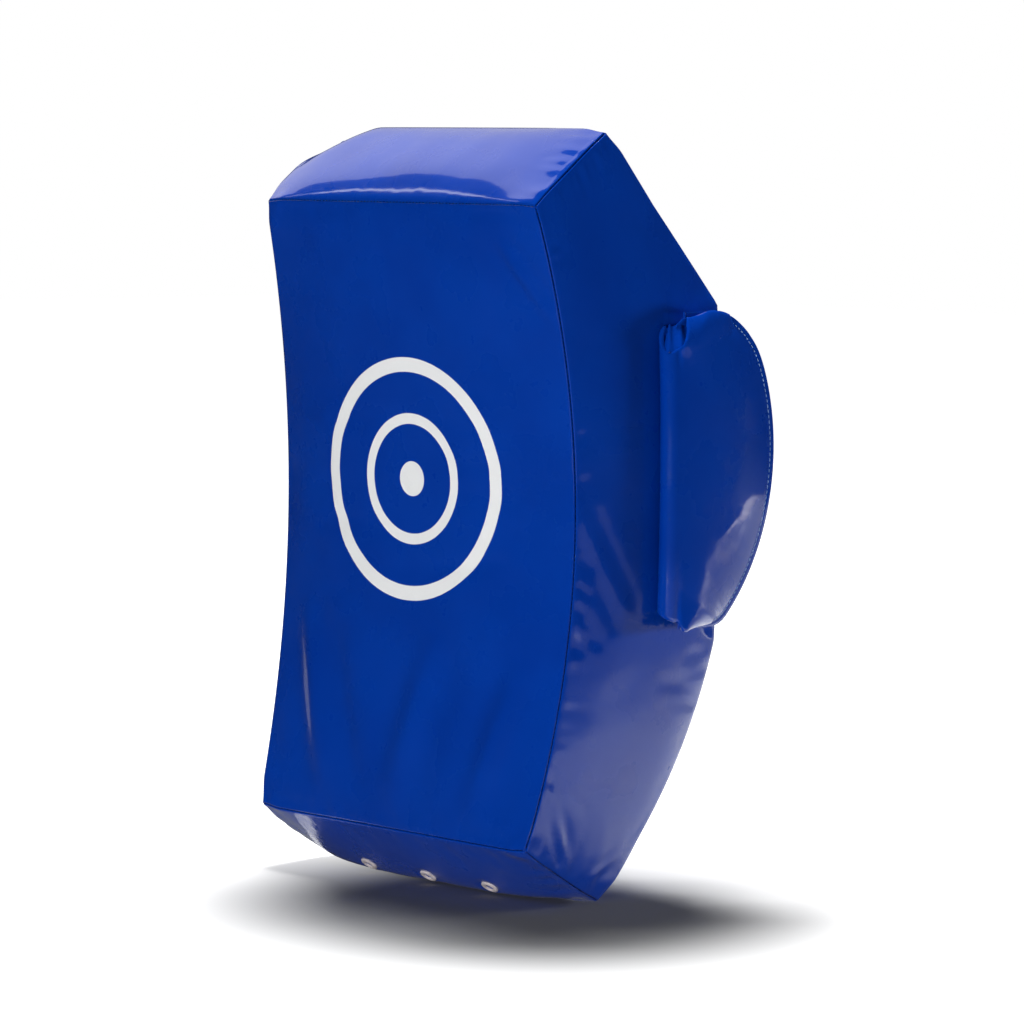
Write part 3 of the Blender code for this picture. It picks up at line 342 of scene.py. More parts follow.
def cross_surface(name):
    spans, crown, power, before, after = CROSS_PANELS[name]

    def surface(a, b):
        place, normal = chain_place(spans, b)
        share = 2.0 * a - 1.0
        middle = 2.0 * (up_share(b) if name == "front_panel" else b) - 1.0
        across = bump(np.clip(share, -1.0, 1.0), 4.0)
        up = bump(np.clip(middle, -1.0, 1.0), power)
        rise = crown * across * up
        if name == "front_panel":
            rise = rise * up ** FRONT_EASE
        if name == "bottom_panel":
            # It lies flat where it stands on the floor, then slopes up to the front seam
            sloped = BOTTOM_LIFT * (1.0 - b) + BOTTOM_CROWN * b * (1.0 - b)
            both = np.exp(-BOTTOM_FOOT * b / BOTTOM_BLEND) + np.exp(-sloped / BOTTOM_BLEND)
            rise = -BOTTOM_BLEND * np.log(both) * across
        if name == "back_panel":
            rise = FLAT_RISE * np.clip((1.0 - np.abs(share)) / 0.8, 0.0, 1.0)
            rise = rise * np.clip(b / FLAT_FADE, 0.0, 1.0)
            rise = rise * np.clip((1.0 - FLAT_FADE - b) / FLAT_FADE, 0.0, 1.0)
        return in_frame(share * half_width(place[..., 1]), place + rise[..., None] * normal)

    def creases(border, t):
        """The direction into the seam, along one border."""
        if border in ("left", "right"):
            side = np.full((t.size, 1), -1.0 if border == "left" else 1.0)
            return -unit(np.concatenate((side, chain_place(spans, t)[1]), 1))
        at, other = (0.0, before) if border == "start" else (1.0, after)
        total = chain_place(spans, np.array([at]))[1][0]
        if other is not None:
            total = total + along_edge(other, np.array([1.0 - at]))[1][0]
        total = total / np.linalg.norm(total)
        return np.repeat([(0.0, -total[0], -total[1])], t.size, 0)

    def widths(b):
        return 2.0 * half_width(chain_place(spans, b)[0][..., 1])

    return surface, creases, widths, chain_lengths(spans).sum()


def back_chain():
    """The back seam from the bottom up, as heights and depths."""
    points = []
    for edge in ("slope", "flat", "lower"):
        points.append(along_edge(edge, np.linspace(0.0, 1.0, 60))[0])
    points = np.concatenate(points)[::-1]
    return points[:, 1], points[:, 0]


BACK_HEIGHTS, BACK_DEPTHS = back_chain()


def side_seams(b):
    front = along_edge("front", b)[0]
    height = BASE + b * TALL
    back = np.stack((np.interp(height, BACK_HEIGHTS, BACK_DEPTHS), height), -1)
    return front, back


SIDE_CROWN = 0.010
SIDE_LENGTH = 0.700


def side_surface_of(side):
    def surface(a, b):
        front, back = side_seams(b)
        place = front + (back - front) * a[..., None]
        width = (1.0 - a) * half_width(front[..., 1]) + a * half_width(back[..., 1])
        rise = SIDE_CROWN * bump(np.clip(2.0 * a - 1.0, -1.0, 1.0), 4.0)
        rise = rise * bump(np.clip(2.0 * up_share(b) - 1.0, -1.0, 1.0), 4.0)
        return in_frame(side * (width + rise), place)

    def creases(border, t):
        if border == "left":
            normal = along_edge("front", t)[1]
        elif border == "right":
            height = BASE + t * TALL
            step = 0.002
            before = np.interp(height - step, BACK_HEIGHTS, BACK_DEPTHS)
            after = np.interp(height + step, BACK_HEIGHTS, BACK_DEPTHS)
            normal = unit(np.stack((np.full(t.shape, 2.0 * step), before - after), -1))
        else:
            normal = along_edge("bottom" if border == "start" else "top", t)[1]
        return -unit(np.concatenate((np.full((t.size, 1), side), normal), 1))

    def widths(b):
        front, back = side_seams(b)
        return np.linalg.norm(back - front, axis=-1)

    return surface, creases, widths, SIDE_LENGTH


def unit(vectors):
    return vectors / np.maximum(np.linalg.norm(vectors, axis=-1), 1e-9)[..., None]


def ladder(length, count):
    """Shares from border to border, closer together beside the seams."""
    length = np.atleast_1d(length)
    near = np.repeat(np.array(NEAR_SEAM)[:, None], length.size, 1)
    inner = NEAR_SEAM[-1] + (length - 2.0 * NEAR_SEAM[-1]) * np.linspace(0.0, 1.0, count)[:, None]
    return np.concatenate((near[:-1], inner, length - near[:-1][::-1])) / length


def outward(points, first, second):
    """Normals from two tangents, turned away from the shield's middle."""
    normal = unit(np.cross(first, second))
    away = points - np.array(SHIELD_MIDDLE)
    return normal * np.where((normal * away).sum(-1) < 0.0, -1.0, 1.0)[..., None]


def roll_lip(seam, inward, normal, crease):
    """Five lines from inside the seam, over the rolled lip, to the panel's face."""
    square = unit(inward - (inward * crease).sum(-1)[..., None] * crease)
    lean = (normal * square).sum(-1)
    reach = (LIP * (1.0 + lean) + SEAM_GAP / 2.0) / np.maximum((inward * square).sum(-1), 0.2)
    edge = seam + np.minimum(reach, LIP_REACH_MOST)[..., None] * inward
    centre = edge - LIP * normal
    turns = np.radians(LIP_TURNS)
    lines = [centre + LIP * (math.cos(turn) * normal - math.sin(turn) * inward) for turn in turns]
    touch = centre - LIP * square
    touch = touch - (((touch - seam) * square).sum(-1) - SEAM_GAP / 2.0)[..., None] * square
    return [touch + HEM * crease, touch, *lines[::-1], edge]


def along_share(surface, a, b, axis):
    """The surface's direction along one of its two shares."""
    if axis == 0:
        return surface(np.minimum(a + SMALL, 1.0), b) - surface(np.maximum(a - SMALL, 0.0), b)
    return surface(a, np.minimum(b + SMALL, 1.0)) - surface(a, np.maximum(b - SMALL, 0.0))


def border_ways(surface, creases, border, t):
    """The seam along one border, and the ways into the panel, off its face and into the crease."""
    at, way = (0.0, 1.0) if border in ("left", "start") else (1.0, -1.0)
    edge = np.full(t.shape, at)
    if border in ("left", "right"):
        seam, tangent = surface(edge, t), along_share(surface, edge, t, 1)
        inward = unit(surface(edge + way * STEP_IN, t) - seam)
    else:
        seam, tangent = surface(t, edge), along_share(surface, t, edge, 0)
        inward = unit(surface(t, edge + way * STEP_IN) - seam)
    return seam, inward, outward(seam, inward, tangent), creases(border, t)


def read_field(field, a, b):
    """A smooth reading of a grid of values at shares of its two sides."""
    across = np.clip(a, 0.0, 1.0) * (field.shape[0] - 1)
    up = np.clip(b, 0.0, 1.0) * (field.shape[1] - 1)
    i = np.minimum(across.astype(int), field.shape[0] - 2)
    j = np.minimum(up.astype(int), field.shape[1] - 2)

    def weights(t):
        return (-0.5 * t + t * t - 0.5 * t ** 3, 1.0 - 2.5 * t * t + 1.5 * t ** 3,
                0.5 * t + 2.0 * t * t - 1.5 * t ** 3, -0.5 * t * t + 0.5 * t ** 3)

    total = 0.0
    for k, wide in enumerate(weights(across - i)):
        for m, high in enumerate(weights(up - j)):
            x = np.clip(i + k - 1, 0, field.shape[0] - 1)
            y = np.clip(j + m - 1, 0, field.shape[1] - 1)
            total = total + (wide * high)[..., None] * field[x, y]
    return total


def new_object(name, bm, finish):
    """An object in the scene from a finished BMesh, with its one material."""
    mesh = bpy.data.meshes.new(name)
    bm.to_mesh(mesh)
    bm.free()
    mesh.materials.append(finish)
    made = bpy.data.objects.new(name, mesh)
    bpy.context.scene.collection.objects.link(made)
    return made


def read(items, field):
    values = np.zeros(len(items) * 3, np.float32)
    items.foreach_get(field, values)
    return values.reshape(-1, 3)


def by_row(values):
    """A grid's values in the order of its mesh's vertices."""
    return np.swapaxes(values, 0, 1).reshape(-1, values.shape[-1])


def grid_object(name, points, finish):
    """A sheet of quads through a grid of places, with its UV map in metres."""
    bm = bmesh.new()
    bmesh.ops.create_grid(bm, x_segments=points.shape[0] - 1, y_segments=points.shape[1] - 1, size=1.0)
    made = new_object(name, bm, finish)
    mesh = made.data
    mesh.vertices.foreach_set("co", by_row(points).astype(np.float32).ravel())
    steps_across = np.linalg.norm(np.diff(points, axis=0), axis=-1)
    steps_up = np.linalg.norm(np.diff(points, axis=1), axis=-1)
    u = np.concatenate((np.zeros((1, points.shape[1])), np.cumsum(steps_across, 0)))
    u = u - u[points.shape[0] // 2]
    v = np.concatenate((np.zeros((points.shape[0], 1)), np.cumsum(steps_up, 1)), 1)
    v = np.repeat(v.mean(0)[None], points.shape[0], 0)
    corner = np.zeros(len(mesh.loops), int)
    mesh.loops.foreach_get("vertex_index", corner)
    layer = mesh.uv_layers.new(name="UVMap")
    both = by_row(np.stack((u, v), -1))[corner]
    layer.data.foreach_set("uv", both.astype(np.float32).ravel())
    mesh.polygons.foreach_set("use_smooth", np.ones(len(mesh.polygons), bool))
    mesh.update()
    return made


def face_outwards(made):
    """Turn a sheet's faces over where they look at the shield's middle."""
    faces = made.data.polygons
    away = read(faces, "center") - np.array(SHIELD_MIDDLE)
    if (away * read(faces, "normal")).sum() < 0.0:
        made.data.flip_normals()


def thicken(made, name, thickness, offset):
    wall = made.modifiers.new(name, "SOLIDIFY")
    wall.thickness = thickness
    wall.offset = offset


def settle(surface, widths, length, pressure, slack, cap):
    """Let a panel's cloth settle over the foam with its seams held, and return its moves."""
    columns = max(8, int(np.mean(widths(np.linspace(0.0, 1.0, 9))) / SIM_CELL))
    rows = max(8, int(length / SIM_CELL))
    a, b = np.meshgrid(np.linspace(0.0, 1.0, columns + 1), np.linspace(0.0, 1.0, rows + 1), indexing="ij")
    cloth = grid_object("settling", surface(a, b), vinyl)
    face_outwards(cloth)
    flat = read(cloth.data.vertices, "co")
    at_seam = (a == 0.0) | (a == 1.0) | (b == 0.0) | (b == 1.0)
    held = cloth.vertex_groups.new(name="seams")
    held.add(np.flatnonzero(by_row(at_seam[..., None])).tolist(), 1.0, "REPLACE")
    step = cloth.modifiers.new("cloth", "CLOTH")
    for key, value in SIM_SETTINGS.items():
        setattr(step.settings, key, value)
    step.settings.uniform_pressure_force = pressure
    step.settings.shrink_min = -slack
    step.settings.shrink_max = -slack
    step.settings.effector_weights.gravity = 0.0
    step.point_cache.frame_start = 1
    step.point_cache.frame_end = SIM_FRAMES
    scene = bpy.context.scene
    for number in range(1, SIM_FRAMES + 1):
        scene.frame_set(number)
    graph = bpy.context.evaluated_depsgraph_get()
    shift = read(cloth.evaluated_get(graph).data.vertices, "co") - flat
    scene.frame_set(1)
    field = np.swapaxes(shift.reshape(rows + 1, columns + 1, 3), 0, 1).astype(float)
    old = cloth.data
    bpy.data.objects.remove(cloth)
    bpy.data.meshes.remove(old)
    size = np.linalg.norm(field, axis=-1)
    return field * (cap * np.tanh(size / cap) / np.maximum(size, 1e-9))[..., None]


def noise_at(x, y, z):
    flat = [noise.noise(Vector(item)) for item in zip(x.ravel(), y.ravel(), z.ravel())]
    return np.array(flat).reshape(x.shape)


def pucker(distance, along, size, reach, pitch, seed):
    """Little ridges square to a seam, highest a short way in from it."""
    fall = distance / reach * np.exp(1.0 - distance / reach)
    wave = noise_at(along / pitch, distance * 0.2 / pitch, np.full(along.shape, seed))
    fine = noise_at(along / (pitch * 0.45), distance * 0.2 / pitch, np.full(along.shape, seed + 7.0))
    return size * fall * (wave + 0.5 * fine) * 1.6


def crease_line(points, start, end, height, width):
    """A soft ridge or fold between two places, tapering at both ends."""
    start, end = np.array(start), np.array(end)
    along = end - start
    length = np.linalg.norm(along)
    along = along / length
    offset = points - start
    t = (offset @ along) / length
    away = np.linalg.norm(offset - (offset @ along)[..., None] * along, axis=-1)
    taper = np.clip(np.sin(np.pi * np.clip(t, 0.0, 1.0)), 0.0, 1.0) ** 0.7
    ridge = np.exp(-(away / width) ** 2) - 0.45 * np.exp(-((away - 2.0 * width) / (1.2 * width)) ** 2)
    return height * taper * ridge


# Each border's puckers: size, reach and pitch
PUCKERS = {
    "front_panel": {"start": (0.0005, 0.007, 0.022), "end": (0.0003, 0.006, 0.014),
                    "left": (0.0006, 0.009, 0.040), "right": (0.0006, 0.009, 0.040)},
    "top_panel": {"start": (0.00007, 0.0050, 0.012), "end": (0.0001, 0.008, 0.020),
                  "left": (0.0008, 0.010, 0.022), "right": (0.0011, 0.009, 0.018)},
    "bottom_panel": {"start": (0.0010, 0.008, 0.020), "end": (0.0003, 0.006, 0.018),
                     "left": (0.0012, 0.010, 0.024), "right": (0.0014, 0.010, 0.024)},
    "side": {"start": (0.0014, 0.010, 0.024), "end": (0.0012, 0.008, 0.020),
             "left": (0.0006, 0.007, 0.024), "right": (0.0012, 0.009, 0.028)},
    "other": {"start": (0.0010, 0.009, 0.026), "end": (0.0010, 0.009, 0.026),
              "left": (0.0010, 0.009, 0.026), "right": (0.0010, 0.009, 0.026)},
}
# Folds that handling has left, as start, end, height and width in the frame
FOLDS = {
    "right_side_panel": (
        ((0.200, -0.141, 0.150), (0.205, -0.104, 0.048), 0.0022, 0.0045),
        ((0.200, -0.139, 0.148), (0.205, -0.072, 0.110), 0.0016, 0.0060),
        ((0.200, -0.070, 0.030), (0.200, -0.030, 0.050), 0.0018, 0.0040),
        ((0.212, 0.000, 0.226), (0.212, 0.072, 0.219), 0.0012, 0.0035),
        ((0.213, -0.112, 0.412), (0.216, -0.040, 0.285), 0.0016, 0.0085),
        ((0.211, -0.130, 0.335), (0.214, -0.092, 0.305), 0.0014, 0.0045),
        ((0.211, -0.112, 0.300), (0.213, -0.085, 0.255), 0.0012, 0.0060),
        ((0.204, -0.158, 0.688), (0.206, -0.146, 0.690), 0.0016, 0.0026),
        ((0.204, -0.143, 0.655), (0.207, -0.129, 0.658), 0.0018, 0.0028),
    ),
    "left_side_panel": (
        ((-0.200, -0.139, 0.160), (-0.205, -0.090, 0.080), 0.0018, 0.0050),
        ((-0.206, -0.140, 0.640), (-0.207, -0.120, 0.655), 0.0016, 0.0030),
    ),
    "front_panel": (
        ((-0.165, -0.127, 0.290), (-0.094, -0.156, 0.090), 0.0040, 0.0150),
        ((-0.110, -0.135, 0.270), (-0.045, -0.156, 0.090), -0.0024, 0.0140),
        ((0.050, -0.137, 0.270), (0.000, -0.157, 0.080), 0.0044, 0.0180),
        ((0.165, -0.132, 0.250), (0.115, -0.156, 0.080), 0.0046, 0.0150),
        ((0.142, -0.153, 0.672), (0.206, -0.130, 0.584), 0.0032, 0.0060),
    ),
    "top_panel": (
        ((0.155, -0.112, 0.742), (0.192, -0.104, 0.748), 0.0010, 0.0040),
        ((0.150, -0.080, 0.765), (0.192, -0.074, 0.770), 0.0008, 0.0050),
    ),
}


def dents(points, seed, size):
    """Broad, shallow hollows where the foam has been pressed."""
    x, y, z = points[..., 0] + seed, points[..., 1], points[..., 2]
    broad = noise_at(x / 0.110, y / 0.110, z / 0.110)
    small = noise_at(x / 0.048, y / 0.048, z / 0.048 + 9.0)
    return size * (broad + 0.35 * small)


# The cover bulges past the eyelets' places, and carries them with it
EYELET_RIM = 0.0018
EYELET_PRESSED = 0.017
EYELET_FADE = 0.007
EYELET_OUT = 0.0050
EYELET_FORWARD = 0.0040
EYELET_TILT = math.radians(15.0)


def flange_seats():
    """Outer face and axis of each eyelet where the cover has carried it, read from its node."""
    seats = []
    for label in ("left", "middle", "right"):
        points = read(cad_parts["eyelet_" + label].data.vertices, "co").astype(float)
        middle = points.mean(0)
        axis = np.linalg.eigh(np.cov((points - middle).T))[1][:, 0]
        axis = axis * (-1.0 if axis[2] > 0.0 else 1.0)
        heights = (points - middle) @ axis
        tilted = np.array(Matrix.Rotation(-EYELET_TILT, 3, "X") @ Vector(axis))
        forward = unit(np.cross(tilted, (1.0, 0.0, 0.0)))
        forward = forward * (-1.0 if forward[1] > 0.0 else 1.0)
        place = middle + axis * heights.max() + EYELET_OUT * tilted + EYELET_FORWARD * forward
        seats.append((place, tilted))
    return seats


EYELET_SEATS = flange_seats()
# How far round each handle patch the back panel lies flat, and how softly that ends
PATCH_MARGIN = 0.004
PATCH_FADE = 0.020


def ease(value):
    value = np.clip(value, 0.0, 1.0)
    return value * value * (3.0 - 2.0 * value)


def patch_mask(points):
    """Nought where the handles' patches lie on the back panel, and one away from them."""
    mask = np.ones(points.shape[:-1])
    for side in ("left", "right"):
        for level in ("upper", "lower"):
            corners = read(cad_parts[f"{side}_handle_{level}_patch"].data.vertices, "co").astype(float)
            low, high = corners.min(0), corners.max(0)
            off = np.abs(points - (low + high) / 2.0) - (high - low) / 2.0
            mask = mask * ease((np.maximum(off[..., 0], off[..., 2]) - PATCH_MARGIN) / PATCH_FADE)
    return mask


# Corners that the foam doesn't fill, as place, the way in, depth and reach
SLACK_CORNERS = (
    ((-0.200, -0.058, 0.781), (0.60, -0.05, -0.80), 0.0170, 0.075),
    ((0.200, -0.058, 0.781), (-0.60, -0.05, -0.80), 0.0040, 0.035),
    ((-0.200, -0.1595, 0.7045), (0.60, 0.60, -0.50), 0.0035, 0.030),
    ((0.200, -0.1595, 0.7045), (-0.60, 0.60, -0.50), 0.0030, 0.025),
    ((-0.200, -0.1595, 0.0645), (0.60, 0.60, 0.50), 0.0040, 0.035),
    ((0.200, -0.1595, 0.0645), (-0.60, 0.60, 0.50), 0.0030, 0.025),
    ((-0.200, -0.050, 0.000), (0.70, 0.10, 0.70), 0.0060, 0.045),
    ((0.200, -0.050, 0.000), (-0.70, 0.10, 0.70), 0.0040, 0.035),
)


def soften_corners(points):
    """Pull the cover in where its corners stand empty."""
    moved = points.copy()
    for corner, inward, depth, reach in SLACK_CORNERS:
        away = np.linalg.norm(points - np.array(corner), axis=-1)
        moved = moved + (depth * ease(1.0 - away / reach))[..., None] * np.array(inward)
    return moved


def press_at_eyelets(points):
    """The bottom panel lies flat under each eyelet's flange, and stays off the floor."""
    for seat, axis in EYELET_SEATS:
        offset = points - seat
        level = offset @ axis + EYELET_RIM
        away = np.linalg.norm(offset - (offset @ axis)[..., None] * axis, axis=-1)
        points = points - (ease((EYELET_PRESSED - away) / EYELET_FADE) * level)[..., None] * axis
    points[..., 2] = np.maximum(points[..., 2], FLOOR_GAP)
    return points


def make_panel(name, surface, creases, widths, length, seed, cloth):
    field = settle(surface, widths, length, *cloth)
    columns = max(6, int(np.mean(widths(np.linspace(0.0, 1.0, 9))) / CELL))
    rows = max(6, int(length / CELL))
    up = ladder(length, rows)[:, 0]
    a = ladder(widths(up), columns)
    b = np.repeat(up[None], a.shape[0], 0)
    points = surface(a, b)
    normal = outward(points, along_share(surface, a, b, 0), along_share(surface, a, b, 1))
    wide = widths(up)[None]
    from_border = {"left": a * wide, "right": (1.0 - a) * wide,
                   "start": b * length, "end": (1.0 - b) * length}
    run = {"left": b * length, "right": b * length, "start": a * wide, "end": a * wide}
    nearest = np.minimum(np.minimum(from_border["left"], from_border["right"]),
                         np.minimum(from_border["start"], from_border["end"]))
    height = dents(points, seed, PANEL_DENTS) * np.clip(nearest / DENT_MARGIN, 0.0, 1.0)
    kind = "side" if "_side_" in name else name if name in PUCKERS else "other"
    for k, (border, (size, reach, pitch)) in enumerate(PUCKERS[kind].items()):
        height = height + pucker(from_border[border], run[border], size, reach, pitch, seed + 3.1 * k)
    for start, end, rise, width in FOLDS.get(name, ()):
        height = height + crease_line(points, start, end, rise, width)
    still = patch_mask(points)[..., None] if name == "back_panel" else 1.0
    if field is not None:
        points = points + still * read_field(field, a, b)
    points = points + still * height[..., None] * normal
    if name == "bottom_panel":
        points = press_at_eyelets(points)
    # The rows along both sewn ends take the lips of the sides too
    all_b = np.concatenate(((0.0,), up, (1.0,)))
    edge_a = np.concatenate((a[:, :1], a, a[:, -1:]), 1)
    body = np.concatenate((surface(edge_a[:, :1], np.zeros((a.shape[0], 1))), points,
                           surface(edge_a[:, -1:], np.ones((a.shape[0], 1)))), 1)
    left, right = (roll_lip(*border_ways(surface, creases, border, all_b)) for border in ("left", "right"))
    wide_body = np.concatenate((np.stack(left), body, np.stack(right[::-1])))
    ends = []
    for border, row in (("start", 0), ("end", -1)):
        ways = border_ways(surface, creases, border, edge_a[:, row])[1:]
        padded = [np.pad(item, ((len(left), len(left)), (0, 0)), "edge") for item in ways]
        ends.append(roll_lip(wide_body[:, row], *padded))
    whole = np.concatenate((np.stack(ends[0], 1), wide_body[:, 1:-1], np.stack(ends[1][::-1], 1)), 1)
    finish = front_vinyl if name == "front_panel" else vinyl
    made = grid_object(name + "_cloth", soften_corners(whole), finish)
    face_outwards(made)
    thicken(made, "cloth_thickness", COVER * 0.7, -1.0)
    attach(made, "shield")
    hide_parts(name)


# The pressure behind each panel, its slack, and how far a point of it may move
CLOTH = {
    "front_panel": (1.5, 0.0006, 0.003),
    "top_panel": (1.2, 0.0003, 0.002),
    "bottom_panel": (0.6, 0.0008, 0.0012),
}
BACK_CLOTH = (1.5, 0.003, 0.003)
SIDE_CLOTH = (1.0, 0.0004, 0.0025)
PARTS = {panel: cross_surface(panel) for panel in CROSS_PANELS}
for number, panel in enumerate(CROSS_PANELS):
    make_panel(panel, *PARTS[panel], 2.0 * number + 1.3, CLOTH.get(panel, BACK_CLOTH))
for side, panel in ((1.0, "right_side_panel"), (-1.0, "left_side_panel")):
    PARTS[panel] = side_surface_of(side)
    make_panel(panel, *PARTS[panel], 20.0 + side, SIDE_CLOTH)

# Foam: a firm sheet behind the struck face and another behind the handles, with a softer
# core between them. Each is a cut block whose corners the tight cover has rounded.

FOAM_VOXEL = 0.0075
FOAM_DRAW_IN = 0.0055


def foam_finish(name, light, dark, cell):
    made, nodes, links, shader, places = new_material(name)
    spot = places.outputs["Object"]
    cells = nodes.new("ShaderNodeTexVoronoi")
    cells.inputs["Scale"].default_value = 1.0 / cell
    links.new(spot, cells.inputs["Vector"])
    broad = add_range(nodes, links, add_noise(nodes, links, spot, 14.0, 3.0), 0.3, 0.7, 0.0, 0.6)
    tone = add_mix(nodes, links, broad, light, dark)
    # The pores take the dark tone: painted shade in the foam's pits, which the bump also sinks. Elsewhere the
    # dark tone varies at random.
    pore_shade = add_range(nodes, links, cells.outputs["Distance"], 0.0, 0.5, 0.0, 1.0)
    links.new(add_mix(nodes, links, pore_shade, dark, tone), shader.inputs["Base Color"])
    shader.inputs["Roughness"].default_value = 0.95
    links.new(add_bump(nodes, links, cells.outputs["Distance"], cell * 0.5, 0.7), shader.inputs["Normal"])
    return made


def soft_copy(node, name, finish, slot, body, voxel, draw_in):
    """A rounded copy of a foam node, drawn in so that the slack cover clears it."""
    bm = bmesh.new()
    bm.from_mesh(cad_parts[node].data)
    bmesh.ops.remove_doubles(bm, verts=bm.verts, dist=1e-5)
    made = new_object(name, bm, finish)
    blocky = made.data
    blocks = made.modifiers.new("blocks", "REMESH")
    blocks.mode = "VOXEL"
    blocks.voxel_size = voxel
    graph = bpy.context.evaluated_depsgraph_get()
    graph.update()
    made.data = bpy.data.meshes.new_from_object(made.evaluated_get(graph))
    made.modifiers.clear()
    bm = bmesh.new()
    bm.from_mesh(made.data)
    for _ in range(4):
        bmesh.ops.smooth_vert(bm, verts=bm.verts, factor=0.5,
                              use_axis_x=True, use_axis_y=True, use_axis_z=True)
    bm.normal_update()
    for vert in bm.verts:
        vert.co -= draw_in * vert.normal
    for face in bm.faces:
        face.smooth = True
    bm.to_mesh(made.data)
    bm.free()
    made.data.materials.clear()
    made.data.materials.append(finish)
    made.data.name = name
    bpy.data.meshes.remove(blocky)
    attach(made, body)
    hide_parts(node)


firm_finish = foam_finish("firm_grey_foam", (0.13, 0.13, 0.14, 1.0), (0.06, 0.06, 0.07, 1.0), 0.0022)
soft_finish = foam_finish("soft_cream_foam", (0.66, 0.62, 0.50, 1.0), (0.48, 0.43, 0.32, 1.0), 0.0030)
for node, finish, slot in (("strike_foam", firm_finish, "firm_foam"), ("core_foam", soft_finish, "soft_foam"),
                           ("back_foam", firm_finish, "firm_foam")):
    soft_copy(node, node + "_block", finish, slot, "shield", FOAM_VOXEL, FOAM_DRAW_IN)

# Stitches: lockstitch in bonded thread. Each shows as a short rounded bar that dips into
# the cloth at both ends.


def thread_finish(name, colour, dark):
    made, nodes, links, shader, places = new_material(name)
    spot = places.outputs["Object"]
    tone = add_range(nodes, links, add_noise(nodes, links, spot, 900.0, 2.0), 0.3, 0.7, 0.0, 1.0)
    links.new(add_mix(nodes, links, tone, colour, dark), shader.inputs["Base Color"])
    shader.inputs["Roughness"].default_value = 0.55
    twist = add_noise(nodes, links, spot, 2600.0, 1.0)
    links.new(add_bump(nodes, links, twist, 0.0001, 0.6), shader.inputs["Normal"])
    return made


def stitch_run(name, points, normals, finish, body, length=0.0034, pitch=0.0048, radius=0.00042):
    """Stitches along a line of places, each laid along it and across the normal."""
    points, normals = np.asarray(points), np.asarray(normals)
    marks = np.concatenate(((0.0,), np.cumsum(np.linalg.norm(np.diff(points, axis=0), axis=1))))

    def at_mark(values, mark):
        return Vector([np.interp(mark, marks, values[:, k]) for k in range(3)])

    bm = bmesh.new()
    at = pitch / 2.0
    while at < marks[-1] - pitch / 2.0:
        here = at_mark(points, at)
        out = at_mark(normals, at).normalized()
        along = (at_mark(points, at + length / 2.0) - here).normalized()
        across = out.cross(along).normalized()
        turn = Matrix((along, across, along.cross(across))).transposed().to_4x4()
        size = Matrix.Diagonal((length / 2.0, radius, radius * 0.8, 1.0))
        bmesh.ops.create_uvsphere(bm, u_segments=6, v_segments=4, radius=1.0,
                                  matrix=Matrix.Translation(here) @ turn @ size)
        at += pitch
    for face in bm.faces:
        face.smooth = True
    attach(new_object(name, bm, finish), body)


pale_thread = thread_finish("pale_blue_thread", (0.36, 0.55, 0.85, 1.0), (0.20, 0.36, 0.70, 1.0))
deep_thread = thread_finish("navy_thread", (0.002, 0.006, 0.035, 1.0), (0.001, 0.002, 0.012, 1.0))
# The front/top seam's thread: partly the thread's blue and partly a painted highlight where that upward seam
# catches the light.
lit_seam_thread = thread_finish("bright_blue_thread", (0.004, 0.11, 0.55, 1.0), (0.002, 0.05, 0.38, 1.0))


def seam_line(surface, creases, border, count=160, depth=0.0021):
    """Places and outward directions just inside the crease along one of a panel's borders."""
    t = np.linspace(0.006, 0.994, count)
    edge = np.full(count, {"left": 0.0, "right": 1.0, "start": 0.0, "end": 1.0}[border])
    seam = surface(edge, t) if border in ("left", "right") else surface(t, edge)
    crease = creases(border, t)
    return soften_corners(seam) + depth * crease, -crease


# Each panel's sewn borders, with the names of their stitches
SEAMS = {
    "front_panel": {"end": "front_top", "start": "front_bottom",
                    "right": "front_right", "left": "front_left"},
    "top_panel": {"right": "top_right", "left": "top_left", "end": "top_back"},
    "bottom_panel": {"right": "bottom_right", "left": "bottom_left", "start": "bottom_back"},
    "right_side_panel": {"right": "right_back"},
    "left_side_panel": {"right": "left_back"},
    "upper_back_panel": {"end": "back_slope"},
}
for panel, borders in SEAMS.items():
    surface, creases = PARTS[panel][:2]
    for border, name in borders.items():
        places, normals = seam_line(surface, creases, border)
        # Only the front/top seam takes the brighter thread, as a painted highlight; the others take the navy
        # thread.
        finish = lit_seam_thread if name == "front_top" else deep_thread
        stitch_run(name + "_seam_stitches", places, normals, finish, "shield")

# Eyelets: three flanged brass rings, nickel plated, pressed through the bottom panel over
# flat washers, so that air leaves the cover when the shield is struck.

EYELET_FLANGE = 0.0095
EYELET_BORE = 0.0043
EYELET_WALL = 0.0006
# The washer's section, as radius and height over the cover's face
WASHER = ((0.0052, -0.0018), (0.0084, -0.0018), (0.0086, -0.0020), (0.0086, -0.0023), (0.0084, -0.0025),
          (0.0052, -0.0025))


def plated_metal(name, colour, rough, scratch, metallic=1.0):
    made, nodes, links, shader, places = new_material(name)
    spot = places.outputs["Object"]
    worn = add_range(nodes, links, add_noise(nodes, links, spot, 160.0, 5.0), 0.35, 0.7, 0.0, 1.0)
    dull = tuple(0.72 * part for part in colour[:3]) + (1.0,)
    links.new(add_mix(nodes, links, worn, colour, dull), shader.inputs["Base Color"])
    shader.inputs["Metallic"].default_value = metallic
    links.new(add_range(nodes, links, worn, 0.0, 1.0, rough, rough + 0.16), shader.inputs["Roughness"])
    fine = add_noise(nodes, links, spot, 1500.0, 2.0)
    links.new(add_bump(nodes, links, fine, scratch, 0.4), shader.inputs["Normal"])
    return made


eyelet_finish = plated_metal("eyelet_nickel", (0.90, 0.80, 0.78, 1.0), 0.30, 0.00003, 0.25)


